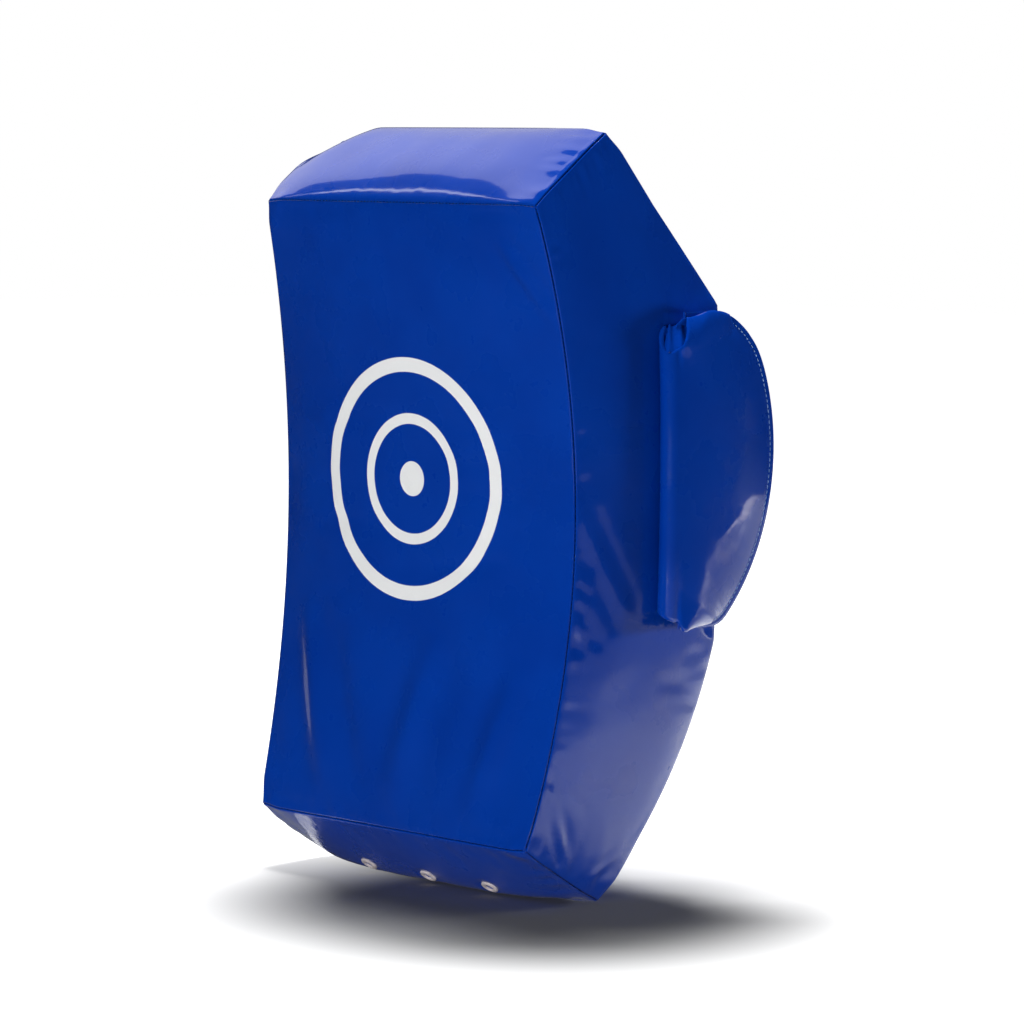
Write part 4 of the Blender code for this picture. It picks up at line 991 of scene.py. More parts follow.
def ring_object(name, profile, place, finish, node, body):
    """A ring turned from a closed profile of radius and height."""
    bm = bmesh.new()
    verts = [bm.verts.new((radius, 0.0, height)) for radius, height in profile]
    edges = [bm.edges.new(pair) for pair in zip(verts, verts[1:] + verts[:1])]
    bmesh.ops.spin(bm, geom=verts + edges, cent=(0.0, 0.0, 0.0), axis=(0.0, 0.0, 1.0), angle=2.0 * math.pi,
                   steps=48, use_merge=True)
    bmesh.ops.remove_doubles(bm, verts=bm.verts, dist=1e-6)
    bmesh.ops.recalc_face_normals(bm, faces=bm.faces)
    bmesh.ops.transform(bm, matrix=place, verts=bm.verts)
    for face in bm.faces:
        face.smooth = True
    made = new_object(name, bm, finish)
    made.data.set_sharp_from_angle(angle=math.radians(40.0))
    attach(made, body)
    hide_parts(node)


def rolled_flange():
    """The eyelet's section: a rolled flange, a barrel and a flared end."""
    reach = (EYELET_FLANGE - EYELET_BORE) / 2.0
    crown = []
    for turn in np.linspace(0.0, math.pi, 9)[1:]:
        crown.append((EYELET_BORE + reach - reach * math.cos(turn), EYELET_RIM * math.sin(turn) ** 0.7))
    barrel = EYELET_BORE + EYELET_WALL
    under = -(COVER + 0.0013)
    flare = barrel + 2.0 * EYELET_WALL
    return [(EYELET_BORE, -0.0004), *crown, (barrel, 0.0), (barrel, under), (flare, under),
            (flare - 0.0003, under - EYELET_WALL), (EYELET_BORE, under - EYELET_WALL)]


for label, (seat, axis) in zip(("left", "middle", "right"), EYELET_SEATS):
    turn = Vector((0.0, 0.0, 1.0)).rotation_difference(Vector(axis)).to_matrix().to_4x4()
    place = Matrix.Translation(Vector(seat) - EYELET_RIM * Vector(axis)) @ turn
    for piece, section in (("eyelet", rolled_flange()), ("eyelet_washer", WASHER)):
        ring_object(f"{piece}_ring_{label}", section, place, eyelet_finish,
                    f"{piece}_{label}", "shield")

# Wings: a padded flap on each side that the player's forearm lies in. The outer cover rolls
# round its front edge and is topstitched to the inner cover round the rim. Its ends are
# left open, so the roll's bound mouths show at the top and bottom.

WING_FRONT = 0.151
WING_REAR = 0.319
WING_TOP = 0.214
WING_BOTTOM = -0.106
WING_REAR_HEIGHT = 0.068
WING_REAR_RADIUS = 0.232
WING_TOP_RADIUS = 0.040
WING_BOTTOM_RADIUS = 0.034
WING_THICKNESS = 0.024
WING_MOUTH_DEPTH = 0.030
WING_TOP_MOUTH = 0.027
WING_BOTTOM_MOUTH = 0.020
WING_SEAM = 0.006
WING_RIM_LIFT = 0.008
WING_TAPE = 0.012
CLEARANCE = 0.0003
NOSE = WING_THICKNESS / 2.0
WING_AXIS = WING_FRONT + NOSE
RIM_FINE = 6
WING_ROWS = 20 * RIM_FINE
MIDDLE_ROW = WING_ROWS // 2
# The bound mouths: their roll's radius, also where it is flat, its turns, and how deep
# the lining behind it runs
MOUTH_ROLL = 0.0026
FLAT_ROLL = 0.0004
BOUND_TURNS = (45.0, 90.0, 135.0, 180.0)
BOUND_DEPTHS = (0.004, 0.010, 0.018)
# The outer cover's columns: two on the tape, the rolled nose, the face, and the flange
NOSE_STEPS = 16
FACE_STEPS = 32
TAPE_COLUMNS = slice(0, 2)
NOSE_COLUMNS = slice(2, 3 + NOSE_STEPS)
FACE_COLUMNS = slice(3 + NOSE_STEPS, 3 + NOSE_STEPS + FACE_STEPS)
STITCHED = FACE_COLUMNS.stop - 1
# Columns in the middle of each cover's face, where its way is read
OUTER_PROBE = 34
INNER_PROBE = 10


def arc_run(centre, radius, start, end, steps):
    turn = np.linspace(start, end, steps + 1)
    return [centre + radius * np.array((math.cos(a), math.sin(a))) for a in turn]


def wing_rim():
    """The wing's sewn edge, from its lower mouth round the rear to its upper mouth."""
    centre = np.array((WING_REAR - WING_REAR_RADIUS, WING_REAR_HEIGHT))
    corners = []
    for level, radius, way in ((WING_BOTTOM, WING_BOTTOM_RADIUS, 1.0), (WING_TOP, WING_TOP_RADIUS, -1.0)):
        height = level + way * radius
        reach = WING_REAR_RADIUS - radius
        drop = height - centre[1]
        middle = np.array((centre[0] + math.sqrt(reach * reach - drop * drop), height))
        corners.append((middle, radius, math.atan2(middle[1] - centre[1], middle[0] - centre[0])))
    (low, low_radius, low_turn), (high, high_radius, high_turn) = corners
    inner = WING_FRONT + WING_MOUTH_DEPTH
    points = list(np.linspace((inner, WING_BOTTOM), (low[0], WING_BOTTOM), 2 * RIM_FINE + 1))
    points += arc_run(low, low_radius, -math.pi / 2.0, low_turn, 4 * RIM_FINE)[1:]
    points += arc_run(centre, WING_REAR_RADIUS, low_turn, high_turn, 8 * RIM_FINE)[1:]
    points += arc_run(high, high_radius, high_turn, math.pi / 2.0, 4 * RIM_FINE)[1:]
    points += list(np.linspace((high[0], WING_TOP), (inner, WING_TOP), 2 * RIM_FINE + 1))[1:]
    return np.array(points)


RIM = wing_rim()
RIM_ALONG = unit(np.gradient(RIM, axis=0))
STITCH_LINE = RIM + WING_SEAM * np.stack((-RIM_ALONG[:, 1], RIM_ALONG[:, 0]), -1)


def side_out(y, z):
    """How far out the side panel stands, as the wing's foot was set out."""
    up = (z + FRONT_CHORD / 2.0) / FRONT_CHORD
    for _ in range(16):
        front = along_edge("front", np.array([up]))[0][0]
        height = BASE + up * TALL
        back = np.array((np.interp(height, BACK_HEIGHTS, BACK_DEPTHS), height))
        across = (y - front[0]) / (back[0] - front[0])
        level = (1.0 - across) * front[1] + across * back[1]
        up += (z - level) / FRONT_CHORD
    width = (1.0 - across) * half_width(front[1]) + across * half_width(back[1])
    return float(width + SIDE_CROWN * bump(2.0 * across - 1.0, 4.0) * bump(2.0 * up - 1.0, 4.0))


FRONT_HEIGHTS = np.linspace(WING_BOTTOM + WING_BOTTOM_MOUTH, WING_TOP - WING_TOP_MOUTH, WING_ROWS + 1)
FOOT = np.array([side_out(WING_AXIS, z) for z in FRONT_HEIGHTS]) + COVER + 2.0 * CLEARANCE
RIM_PLANE = FOOT.max() + WING_RIM_LIFT
WING_PIVOT_X = FOOT.max() + NOSE


def across_wing(row, share):
    front = np.array((WING_AXIS, FRONT_HEIGHTS[row]))
    return front + (STITCH_LINE[row] - front) * share


def outer_height(row, share):
    rim = RIM_PLANE + CLEARANCE / 2.0 + COVER
    return rim + (FOOT[row] + WING_THICKNESS - rim) * bump(share, 4.0)


def inner_height(row, share):
    rim = RIM_PLANE - CLEARANCE / 2.0 - COVER
    return FOOT[row] + (rim - FOOT[row]) * share


def outer_line(row):
    """One level of the outer cover: its tape, rolled front edge, crown and rim."""
    height = FRONT_HEIGHTS[row]
    line = [(FOOT[row], WING_AXIS + WING_TAPE, height), (FOOT[row], WING_AXIS + WING_TAPE / 2.0, height)]
    for turn in np.linspace(0.0, math.pi, NOSE_STEPS + 1):
        line.append((FOOT[row] + NOSE - NOSE * math.cos(turn), WING_AXIS - NOSE * math.sin(turn), height))
    for share in np.linspace(0.0, 1.0, FACE_STEPS + 1)[1:]:
        y, z = across_wing(row, share)
        line.append((outer_height(row, share), y, z))
    for share in (0.5, 1.0):
        y, z = STITCH_LINE[row] + (RIM[row] - STITCH_LINE[row]) * share
        line.append((outer_height(row, 1.0), y, z))
    return line


def inner_line(row):
    start = (WING_TAPE + CLEARANCE) / (STITCH_LINE[row][0] - WING_AXIS)
    line = []
    for share in np.linspace(start, 1.0, 20):
        y, z = across_wing(row, share)
        line.append((inner_height(row, share), y, z))
    line.append((inner_height(row, 1.0), *RIM[row]))
    return line


def wing_points(lines, side):
    points = np.array(lines).transpose(1, 0, 2)
    return points * np.array((side, 1.0, 1.0)) - np.array((0.0, MIDDLE, BASE))


def bind_ends(points, normal):
    """Roll both free ends of the outer cover inwards into a bound mouth, with its lining."""
    roll = np.full(points.shape[0], MOUTH_ROLL)
    roll[STITCHED - 6:STITCHED + 1] = np.linspace(MOUTH_ROLL, FLAT_ROLL, 7)
    roll[STITCHED + 1:] = FLAT_ROLL
    roll = roll[:, None]
    flat = np.ones((points.shape[0], 1))
    flat[STITCHED - 2:] = 0.05
    ends = []
    for row, way in ((0, 1), (-1, -1)):
        edge = points[:, row]
        beyond = unit(edge - points[:, row + way])
        out = normal[:, row]
        centre = edge - roll * out
        lines = []
        for turn in np.radians(BOUND_TURNS):
            lines.append(centre + roll * (math.cos(turn) * out + math.sin(turn) * beyond))
        for deep in BOUND_DEPTHS:
            lines.append(centre - roll * out - deep * flat * beyond)
        ends.append(lines)
    return np.concatenate((np.stack(ends[0][::-1], 1), points, np.stack(ends[1], 1)), 1)


# The mouths' lips, as turn round the nose or share of the face, then how far the upper
# and lower lips are moved upwards there
LIP_PLACES = (0.0, 0.4, 0.785, 1.2, 1.571, 2.0, 2.356, 2.8, 3.142)
LIP_UPPER = (0.0110, 0.0070, 0.0015, -0.0055, -0.0105, -0.0145, -0.0155, -0.0135, -0.0105)
LIP_LOWER = (0.0000, 0.0000, 0.0000, -0.0010, -0.0030, -0.0050, -0.0065, -0.0078, -0.0082)
LIP_SHARES = (0.0, 0.25, 0.5, 0.75, 1.0)
FACE_UPPER = (-0.0105, -0.0127, -0.0110, -0.0060, 0.0)
FACE_LOWER = (-0.0082, -0.0085, -0.0070, -0.0040, 0.0)
LIP_REACH = 0.055
# Each mouth, the upper first, with its lips and how far its face swells
MOUTHS = ((True, LIP_UPPER, FACE_UPPER, 0.0022), (False, LIP_LOWER, FACE_LOWER, 0.0010))
# How far the cover bulges over its upper and lower corners, and its whole face
CORNER_PUSH = 0.0110
LOW_CORNER_PUSH = 0.0062
FACE_FULLNESS = 0.0042
# Rows of the rim where the upper bulge grows, where it fades, and where the lower one grows
UPPER_ROW, UPPER_ROWS = 97.0, 17.0
FADE_ROW, FADE_ROWS = 113.0, 7.0
LOWER_ROW, LOWER_ROWS = 24.0, 20.0
PUSH_START = 0.0035
PUSH_REACH = 0.050
# Where the rear corner leans in, how far round it, and by how much
SLUMP_PLACE = (0.270, 0.208)
SLUMP_REACH = 0.030
SLUMP = (0.0, 0.0045, 0.0065)
WING_DENTS = 0.0009
INNER_DENTS = 0.0010
PAD_VOXEL = 0.004
PAD_DRAW_IN = 0.0022


def shape_ends(points, side):
    """Slope both mouths towards the front, and let the cover bulge over its ends."""
    columns, rows = points.shape[:2]
    turns = np.linspace(0.0, math.pi, NOSE_STEPS + 1)
    shares = np.linspace(0.0, 1.0, FACE_STEPS + 1)[1:]
    for upper, nose, face, swell in MOUTHS:
        lift = np.zeros(columns)
        lift[TAPE_COLUMNS] = 0.5 * nose[0]
        lift[NOSE_COLUMNS] = np.interp(turns, LIP_PLACES, nose)
        lift[FACE_COLUMNS] = np.interp(shares, LIP_SHARES, face)
        order = points[:, ::-1] if upper else points
        steps = np.linalg.norm(np.diff(order, axis=1), axis=-1)
        run = np.concatenate((np.zeros((columns, 1)), np.cumsum(steps, 1)), 1)
        weight = ease(1.0 - run / LIP_REACH)
        weight = weight[:, ::-1] if upper else weight
        points[..., 2] += lift[:, None] * weight
        points[FACE_COLUMNS, :, 0] += side * (np.sin(np.pi * shares) * swell)[:, None] * weight[FACE_COLUMNS]
    away = np.linalg.norm(points[STITCHED][None] - points, axis=-1)
    over = ease(away / PUSH_START) * ease(1.0 - (away - PUSH_START) / PUSH_REACH)
    over[:FACE_COLUMNS.start] = 0.0
    over[STITCHED:] = 0.0
    number = np.arange(rows)
    amount = CORNER_PUSH * ease((number - UPPER_ROW) / UPPER_ROWS)
    amount = amount * (1.0 - 0.65 * ease((number - FADE_ROW) / FADE_ROWS))
    amount = amount + LOW_CORNER_PUSH * ease((LOWER_ROW - number) / LOWER_ROWS)
    outward_way = (RIM - STITCH_LINE) / WING_SEAM
    push = over * amount[None]
    points[..., 1] += push * outward_way[None, :, 0]
    points[..., 2] += push * outward_way[None, :, 1]
    points[..., 0] += side * 0.35 * push
    points[FACE_COLUMNS, :, 0] += side * (np.sin(np.pi * shares ** 0.62) * FACE_FULLNESS)[:, None]
    return slump(points)


def slump(points):
    """The stiff flange leans in where it turns the wing's upper rear corner."""
    offset = points[..., 1:] - np.array((SLUMP_PLACE[0] - MIDDLE, SLUMP_PLACE[1] - BASE))
    near = np.exp(-(offset ** 2).sum(-1) / SLUMP_REACH ** 2)
    return points - near[..., None] * np.array(SLUMP)


def wing_folds(points, normal, side):
    """Slack in the outer cover: a broad fold, dents, and puckers beside the topstitching."""
    crown = np.zeros(points.shape[:2])
    full = np.sin(np.pi * np.linspace(0.0, 1.0, FACE_STEPS + 1))[:, None] ** 0.8
    crown[NOSE_COLUMNS.stop - 1:STITCHED + 1] = full
    crown[NOSE_COLUMNS.start:NOSE_COLUMNS.stop - 1] = 0.25
    away = np.linalg.norm(points[STITCHED][None] - points, axis=-1)
    run = np.concatenate(((0.0,), np.cumsum(np.linalg.norm(np.diff(points[STITCHED], axis=0), axis=-1))))
    height = dents(points, 40.0 + side, WING_DENTS)
    height = height + pucker(away, np.repeat(run[None], points.shape[0], 0), 0.0007, 0.008, 0.011, 51.0)
    out = side * (WING_PIVOT_X + 0.02)
    height = height + crease_line(points, (out, 0.070, 0.350), (out, 0.105, 0.385), -0.0010, 0.0080)
    return points + (height * crown)[..., None] * normal


def in_wing(x, place, side):
    return (side * x, place[0] - MIDDLE, place[1] - BASE)


def grid_normals(points):
    return unit(np.cross(np.gradient(points, axis=0), np.gradient(points, axis=1)))


def wing_cover(prefix, part, points, way, column):
    """One cover of a wing, facing the way given."""
    made = grid_object(f"{prefix}_wing_{part}_cloth", points, vinyl)
    if way * grid_normals(points)[column, MIDDLE_ROW][0] < 0.0:
        made.data.flip_normals()
    thicken(made, "cloth_thickness", COVER, -1.0)
    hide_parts(f"{prefix}_wing_{part}_cover")
    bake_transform(made)


def make_wing(side, prefix):
    body = prefix + "_wing"
    rows = range(WING_ROWS + 1)
    points = shape_ends(wing_points([outer_line(row) for row in rows], side), side)
    normal = grid_normals(points)
    if normal[OUTER_PROBE, MIDDLE_ROW][0] * side < 0.0:
        normal = -normal
    points = bind_ends(wing_folds(points, normal, side), normal)
    wing_cover(prefix, "outer", points, side, OUTER_PROBE)
    lines = slump(wing_points([inner_line(row) for row in rows], side))
    slack = dents(lines, 60.0 + side, INNER_DENTS)
    slack[:2] = 0.0
    slack[-2:] = 0.0
    lines[..., 0] -= side * np.abs(slack) * 0.6
    wing_cover(prefix, "inner", lines, -side, INNER_PROBE)
    soft_copy(prefix + "_wing_pad", prefix + "_wing_foam", soft_finish, "soft_foam", body,
              PAD_VOXEL, PAD_DRAW_IN)
    for name, height, way in (("topstitches", outer_height, 1.0), ("under_stitches", inner_height, -1.0)):
        places = [in_wing(height(row, 1.0) + way * 0.0002, STITCH_LINE[row], side) for row in rows]
        stitch_run(f"{prefix}_wing_{name}", slump(np.array(places)), [(way * side, 0.0, 0.0)] * len(places),
                   pale_thread, body, length=0.0042, pitch=0.0056, radius=0.00055)
    mouth_lining(prefix, "upper", WING_ROWS - 4, 1.0, side, body)
    mouth_lining(prefix, "lower", 4, -1.0, side, body)


LINING_SKIN = 0.0012
LINING_THICKNESS = 0.0008
LINING_END = 0.82
# The mouth's own axes in the roll, and the height of each lining
LINING_AXES = (0.706, 0.708)
LINING_UPPER = 0.5705
LINING_LOWER = 0.3080
# The raised fold: its height, place across the mouth and width. The tucked edges: their
# depth, the mouth's middle, how far from it they start, and over how far they grow
RAISED = (0.0046, -0.0015, 0.0017)
TUCKED = (0.0060, 0.0030, 0.0075, 0.0040)
LINING_COLUMNS = 26
LINING_ROWS = 22


def mouth_lining(prefix, label, row, way, side, body):
    """The tucked cloth that closes the roll just inside its mouth, with one raised fold."""
    points = np.zeros((LINING_COLUMNS + 1, LINING_ROWS + 1, 3))
    for j, t in enumerate(np.linspace(0.0, 1.0, LINING_ROWS + 1)):
        lean = -math.cos(math.pi * t)
        front = WING_AXIS - (NOSE - LINING_SKIN) * math.sqrt(max(0.0, 1.0 - lean * lean))
        for i, s in enumerate(np.linspace(0.0, 1.0, LINING_COLUMNS + 1)):
            y = front + (across_wing(row, LINING_END)[0] - front) * s
            share = max(0.0, (y - WING_AXIS) / (STITCH_LINE[row][0] - WING_AXIS))
            low = inner_height(row, share) + LINING_SKIN
            high = outer_height(row, share) - LINING_SKIN
            x = (low + high) / 2.0 + (high - low) / 2.0 * lean
            inward, deep = x - FOOT[row] - NOSE, y - WING_AXIS
            first, second = LINING_AXES[0] * inward, LINING_AXES[1] * deep
            near = min(1.0, max(-1.6, (first - second) / NOSE))
            sideways = first + second
            fold = RAISED[0] * math.exp(-((sideways - RAISED[1]) / RAISED[2]) ** 2)
            drop = TUCKED[0] * min(1.0, max(0.0, abs(sideways - TUCKED[1]) - TUCKED[2]) / TUCKED[3])
            if way > 0.0:
                height = LINING_UPPER - 0.0125 * near - 0.008 * max(0.0, near - 0.4) + fold - drop
            else:
                height = LINING_LOWER - 0.0050 * near - 0.3 * fold + drop
            points[i, j] = (side * x, y - MIDDLE, height)
    lining = grid_object(prefix + "_wing_" + label + "_mouth_lining", points, vinyl)
    if grid_normals(points)[LINING_COLUMNS // 2, LINING_ROWS // 2][2] * way < 0.0:
        lining.data.flip_normals()
    thicken(lining, "cloth_thickness", LINING_THICKNESS, -1.0)
    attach(lining, body)


for side, prefix in ((1.0, "right"), (-1.0, "left")):
    make_wing(side, prefix)
    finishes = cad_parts[prefix + "_wing_tape"].data.materials
    finishes.clear()
    finishes.append(vinyl)

# Handles: a strap of polyester webbing, folded narrow through a ribbed rubber grip. Its ends
# are box stitched to the back panel through sewn patches.

HANDLE_OFFSET = 0.085
HANDLE_LENGTH = 0.300
HANDLE_STANDOFF = 0.044
STRAP = 0.0025
STRAP_WIDTH = 0.038
STRAP_GRIP_WIDTH = 0.026
GRIP_LENGTH = 0.105
GRIP_WIDTH = 0.036
GRIP_DEPTH = 0.026
LOOP_RUN = 0.062
TAB_RUN = 0.118
BACK_FACE = 0.2606
FLAT_MIDDLE = (FLAT_BACK_TOP + FLAT_BACK_BOTTOM) / 2.0
SEWN_HEIGHT = COVER + 2.0 * CLEARANCE + STRAP / 2.0
GRIP_RIBS = 15
RIB_DEPTH = 0.0011
GRIP_ROUND = 0.0032
PATCH_WIDTH = 0.052
PATCH_LENGTH = 0.042
PATCH_OUT = 0.006
PATCH_HEM = 0.003
STITCH_RISE = 0.0001
# The stitched box, from the handle's middle, and its distance from the strap's edge
BOX_START, BOX_END = 0.1215, 0.1460
BOX_MARGIN = 0.004


def strap_height(along):
    share = min(1.0, max(0.0, (abs(along) - LOOP_RUN) / (TAB_RUN - LOOP_RUN)))
    fall = share * share * (3.0 - 2.0 * share)
    return HANDLE_STANDOFF + (SEWN_HEIGHT - HANDLE_STANDOFF) * fall


def webbing_finish(name, crest_tone, hollow_shade_and_wear):
    made, nodes, links, shader, places = new_material(name)
    weave = add_weave(nodes, links, places.outputs["UV"], 0.0019)
    fading = add_noise(nodes, links, places.outputs["Object"], 90.0, 4.0)
    worn = add_range(nodes, links, fading, 0.4, 0.7, 0.0, 0.5)
    # The weave's hollows take the darker tone and its crests the lighter: painted shade between the threads.
    # Worn patches go to the darker tone as well.
    tone = add_mix(nodes, links, weave, hollow_shade_and_wear, crest_tone)
    links.new(add_mix(nodes, links, worn, tone, hollow_shade_and_wear), shader.inputs["Base Color"])
    shader.inputs["Roughness"].default_value = 0.78
    shader.inputs["Sheen Weight"].default_value = 0.25
    shader.inputs["Sheen Roughness"].default_value = 0.5
    links.new(add_bump(nodes, links, weave, 0.0005, 0.8), shader.inputs["Normal"])
    return made


def rubber_finish(name):
    made, nodes, links, shader, places = new_material(name)
    spot = places.outputs["Object"]
    dust = add_range(nodes, links, add_noise(nodes, links, spot, 120.0, 5.0), 0.45, 0.75, 0.0, 0.6)
    links.new(add_mix(nodes, links, dust, (0.018, 0.018, 0.020, 1.0), (0.045, 0.045, 0.048, 1.0)),
              shader.inputs["Base Color"])
    links.new(add_range(nodes, links, dust, 0.0, 0.6, 0.48, 0.7), shader.inputs["Roughness"])
    pits = add_noise(nodes, links, spot, 1300.0, 2.0)
    links.new(add_bump(nodes, links, pits, 0.0001, 0.6), shader.inputs["Normal"])
    return made


webbing = webbing_finish("black_webbing_weave", (0.030, 0.030, 0.033, 1.0), (0.008, 0.008, 0.009, 1.0))
rubber = rubber_finish("ribbed_black_rubber")


def strap_half(prefix, side, way, nodes_replaced):
    """Half of one strap, from under the grip to its sewn end."""
    label = "upper" if way > 0.0 else "lower"
    bent = list(np.linspace(LOOP_RUN, TAB_RUN, 17))
    steps = [0.0, 0.02, 0.04, 0.054] + bent + [0.126, 0.134, 0.142, 0.1485, 0.150]
    points = np.zeros((9, len(steps), 3))
    for j, along in enumerate(steps):
        middle = strap_height(along)
        share = (middle - SEWN_HEIGHT) / (HANDLE_STANDOFF - SEWN_HEIGHT)
        wide = (STRAP_WIDTH + (STRAP_GRIP_WIDTH - STRAP_WIDTH) * share) / 2.0
        for i, across in enumerate(np.linspace(-1.0, 1.0, 9)):
            cup = 0.0016 * share * across * across if 0.02 < share < 0.98 else 0.0
            points[i, j] = (side * HANDLE_OFFSET + across * wide, BACK_FACE + middle - cup - MIDDLE,
                            FLAT_MIDDLE + way * along - BASE)
    half = grid_object(prefix + "_handle_" + label + "_webbing", points, webbing)
    thicken(half, "webbing_thickness", STRAP, 0.0)
    soften = half.modifiers.new("soft_edges", "BEVEL")
    soften.width = 0.0007
    soften.segments = 2
    soften.limit_method = "ANGLE"
    soften.angle_limit = math.radians(50.0)
    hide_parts(*nodes_replaced)
    middle = FLAT_MIDDLE - BASE
    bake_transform(half)


def grip_sleeve(prefix, side):
    """A ribbed oval sleeve whose ends turn in to the slot that the strap runs through."""
    half = GRIP_LENGTH / 2.0
    slot = (STRAP_GRIP_WIDTH / 2.0 + CLEARANCE, STRAP / 2.0 + CLEARANCE)
    straight = half - GRIP_ROUND
    levels = []
    for t in np.linspace(-1.0, 1.0, 181):
        groove = 0.5 - 0.5 * math.cos(math.pi * (t + 1.0) * GRIP_RIBS)
        fade = min(1.0, (1.0 - abs(t)) / 0.06)
        levels.append((t * straight, 1.0 - RIB_DEPTH / (GRIP_WIDTH / 2.0) * (1.0 - groove) * fade))
    ends = []
    for turn in np.radians((30.0, 60.0, 90.0)):
        ends.append((straight + GRIP_ROUND * math.sin(turn),
                     1.0 - GRIP_ROUND / (GRIP_DEPTH / 2.0) * (1.0 - math.cos(turn))))
    profile = [(-z, scale, 0.0) for z, scale in ends[::-1]] + [(z, scale, 0.0) for z, scale in levels]
    profile += [(z, scale, 0.0) for z, scale in ends]
    last = ends[-1][1]
    inside = [(half, last, 0.4), (half, last, 0.85), (half - 0.001, last, 1.0), (half - 0.02, last, 1.0)]
    profile = [(-z, scale, mix) for z, scale, mix in inside[::-1]] + profile + inside
    points = np.zeros((41, len(profile), 3))
    for j, (z, scale, mix) in enumerate(profile):
        for i in range(41):
            turn = 2.0 * math.pi * i / 40.0
            oval = np.array((GRIP_WIDTH / 2.0 * math.cos(turn), GRIP_DEPTH / 2.0 * math.sin(turn))) * scale
            box = np.array((slot[0] * max(-1.0, min(1.0, 1.6 * math.cos(turn))),
                            slot[1] * max(-1.0, min(1.0, 1.6 * math.sin(turn)))))
            at = oval + (box - oval) * mix
            points[i, j] = (side * HANDLE_OFFSET + at[0], BACK_FACE + HANDLE_STANDOFF - MIDDLE + at[1],
                            FLAT_MIDDLE - BASE + z)
    sleeve = grid_object(prefix + "_handle_rubber_grip", points, rubber)
    bm = bmesh.new()
    bm.from_mesh(sleeve.data)
    bmesh.ops.remove_doubles(bm, verts=bm.verts, dist=1e-6)
    holes = [edge for edge in bm.edges if edge.is_boundary]
    bmesh.ops.bridge_loops(bm, edges=holes)
    bmesh.ops.recalc_face_normals(bm, faces=bm.faces)
    bm.to_mesh(sleeve.data)
    bm.free()
    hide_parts(prefix + "_handle_grip")
    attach(sleeve, prefix + "_handle")


def refined(node, name, finish, body, width, segments=2):
    """A copy of a CAD node with its edges eased."""
    bm = bmesh.new()
    bm.from_mesh(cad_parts[node].data)
    bmesh.ops.remove_doubles(bm, verts=bm.verts, dist=1e-6)
    bmesh.ops.dissolve_limit(bm, angle_limit=math.radians(1.0), verts=bm.verts, edges=bm.edges)
    for face in bm.faces:
        face.smooth = True
    made = new_object(name, bm, finish)
    bevel = made.modifiers.new("eased_edges", "BEVEL")
    bevel.width = width
    bevel.segments = segments
    bevel.limit_method = "ANGLE"
    bevel.angle_limit = math.radians(35.0)
    bevel.harden_normals = True
    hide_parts(node)
    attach(made, body)


def box_stitch(name, side, way):
    """A stitched box with a cross in it, through the strap's end."""
    x = side * HANDLE_OFFSET
    y = BACK_FACE + SEWN_HEIGHT + STRAP / 2.0 - MIDDLE + STITCH_RISE
    wide = STRAP_WIDTH / 2.0 - BOX_MARGIN
    corners = [(x + a, y, FLAT_MIDDLE - BASE + way * b)
               for a, b in ((-wide, BOX_START), (wide, BOX_START), (wide, BOX_END), (-wide, BOX_END))]
    for k, pair in enumerate(((0, 1), (1, 2), (2, 3), (3, 0), (0, 2), (1, 3))):
        stitch_run(f"{name}_{k + 1}", [corners[number] for number in pair], [(0.0, 1.0, 0.0)] * 2,
                   pale_thread, "shield", length=0.0026, pitch=0.0034, radius=0.0004)


def patch_stitch(name, side, way):
    """Stitches round the patch under the strap's end."""
    x = side * HANDLE_OFFSET
    y = BACK_FACE + CLEARANCE + COVER - MIDDLE + STITCH_RISE
    middle = HANDLE_LENGTH / 2.0 - PATCH_LENGTH / 2.0 + PATCH_OUT
    wide, tall = PATCH_WIDTH / 2.0 - PATCH_HEM, PATCH_LENGTH / 2.0 - PATCH_HEM
    corners = [(-wide, -tall), (wide, -tall), (wide, tall), (-wide, tall), (-wide, -tall)]
    run = [(x + a, y, FLAT_MIDDLE - BASE + way * (middle + b)) for a, b in corners]
    stitch_run(name, run, [(0.0, 1.0, 0.0)] * len(run), pale_thread, "shield",
               length=0.0026, pitch=0.0036, radius=0.0004)


for side, prefix in ((1.0, "right"), (-1.0, "left")):
    strap_half(prefix, side, 1.0, (prefix + "_handle_upper_end", prefix + "_handle_strap"))
    strap_half(prefix, side, -1.0, (prefix + "_handle_lower_end",))
    grip_sleeve(prefix, side)
    for label, way in (("upper", 1.0), ("lower", -1.0)):
        node = f"{prefix}_handle_{label}"
        refined(node + "_patch", node + "_patch_cloth", vinyl, "shield", 0.0004)
        patch_stitch(node + "_patch_stitches", side, way)
        box_stitch(node + "_box_stitches", side, way)

# Zip: a coil zip across the lower back, which lets the foam in. Two woven tapes carry the
# nylon coils, and a nickel slider with a pull runs along them between moulded stops.

ZIP_SINK = COVER + 2.0 * CLEARANCE + 0.0004
TAPE_WIDTH = 0.014
TAPE_SINK = 0.0010
TAPE_THICKNESS = 0.0008
COIL_WIRE = 0.00032
COIL_STEPS = 8
COIL_RADIUS = 0.0015
COIL_MIDLINE = COIL_RADIUS - 0.0003
COIL_SPLIT = 0.0018
COIL_PITCH = 0.0014


def zip_axes():
    place, out = along_edge("lower", np.array([(ZIP_START + ZIP_END) / 2.0]))
    origin = in_frame(0.0, place - ZIP_SINK * out)[0]
    z_axis = Vector((0.0, out[0][0], out[0][1]))
    x_axis = Vector((1.0, 0.0, 0.0))
    axes = Matrix((x_axis, z_axis.cross(x_axis), z_axis)).transposed().to_4x4()
    axes.translation = Vector(origin)
    return axes, float(half_width(place[0][1]))


ZIP_AXES, ZIP_HALF = zip_axes()
TAPE_HALF = ZIP_HALF - 0.012
COIL_HALF = ZIP_HALF - 0.022
tape_weave = webbing_finish("black_zip_tape_weave", (0.022, 0.022, 0.026, 1.0), (0.007, 0.007, 0.009, 1.0))


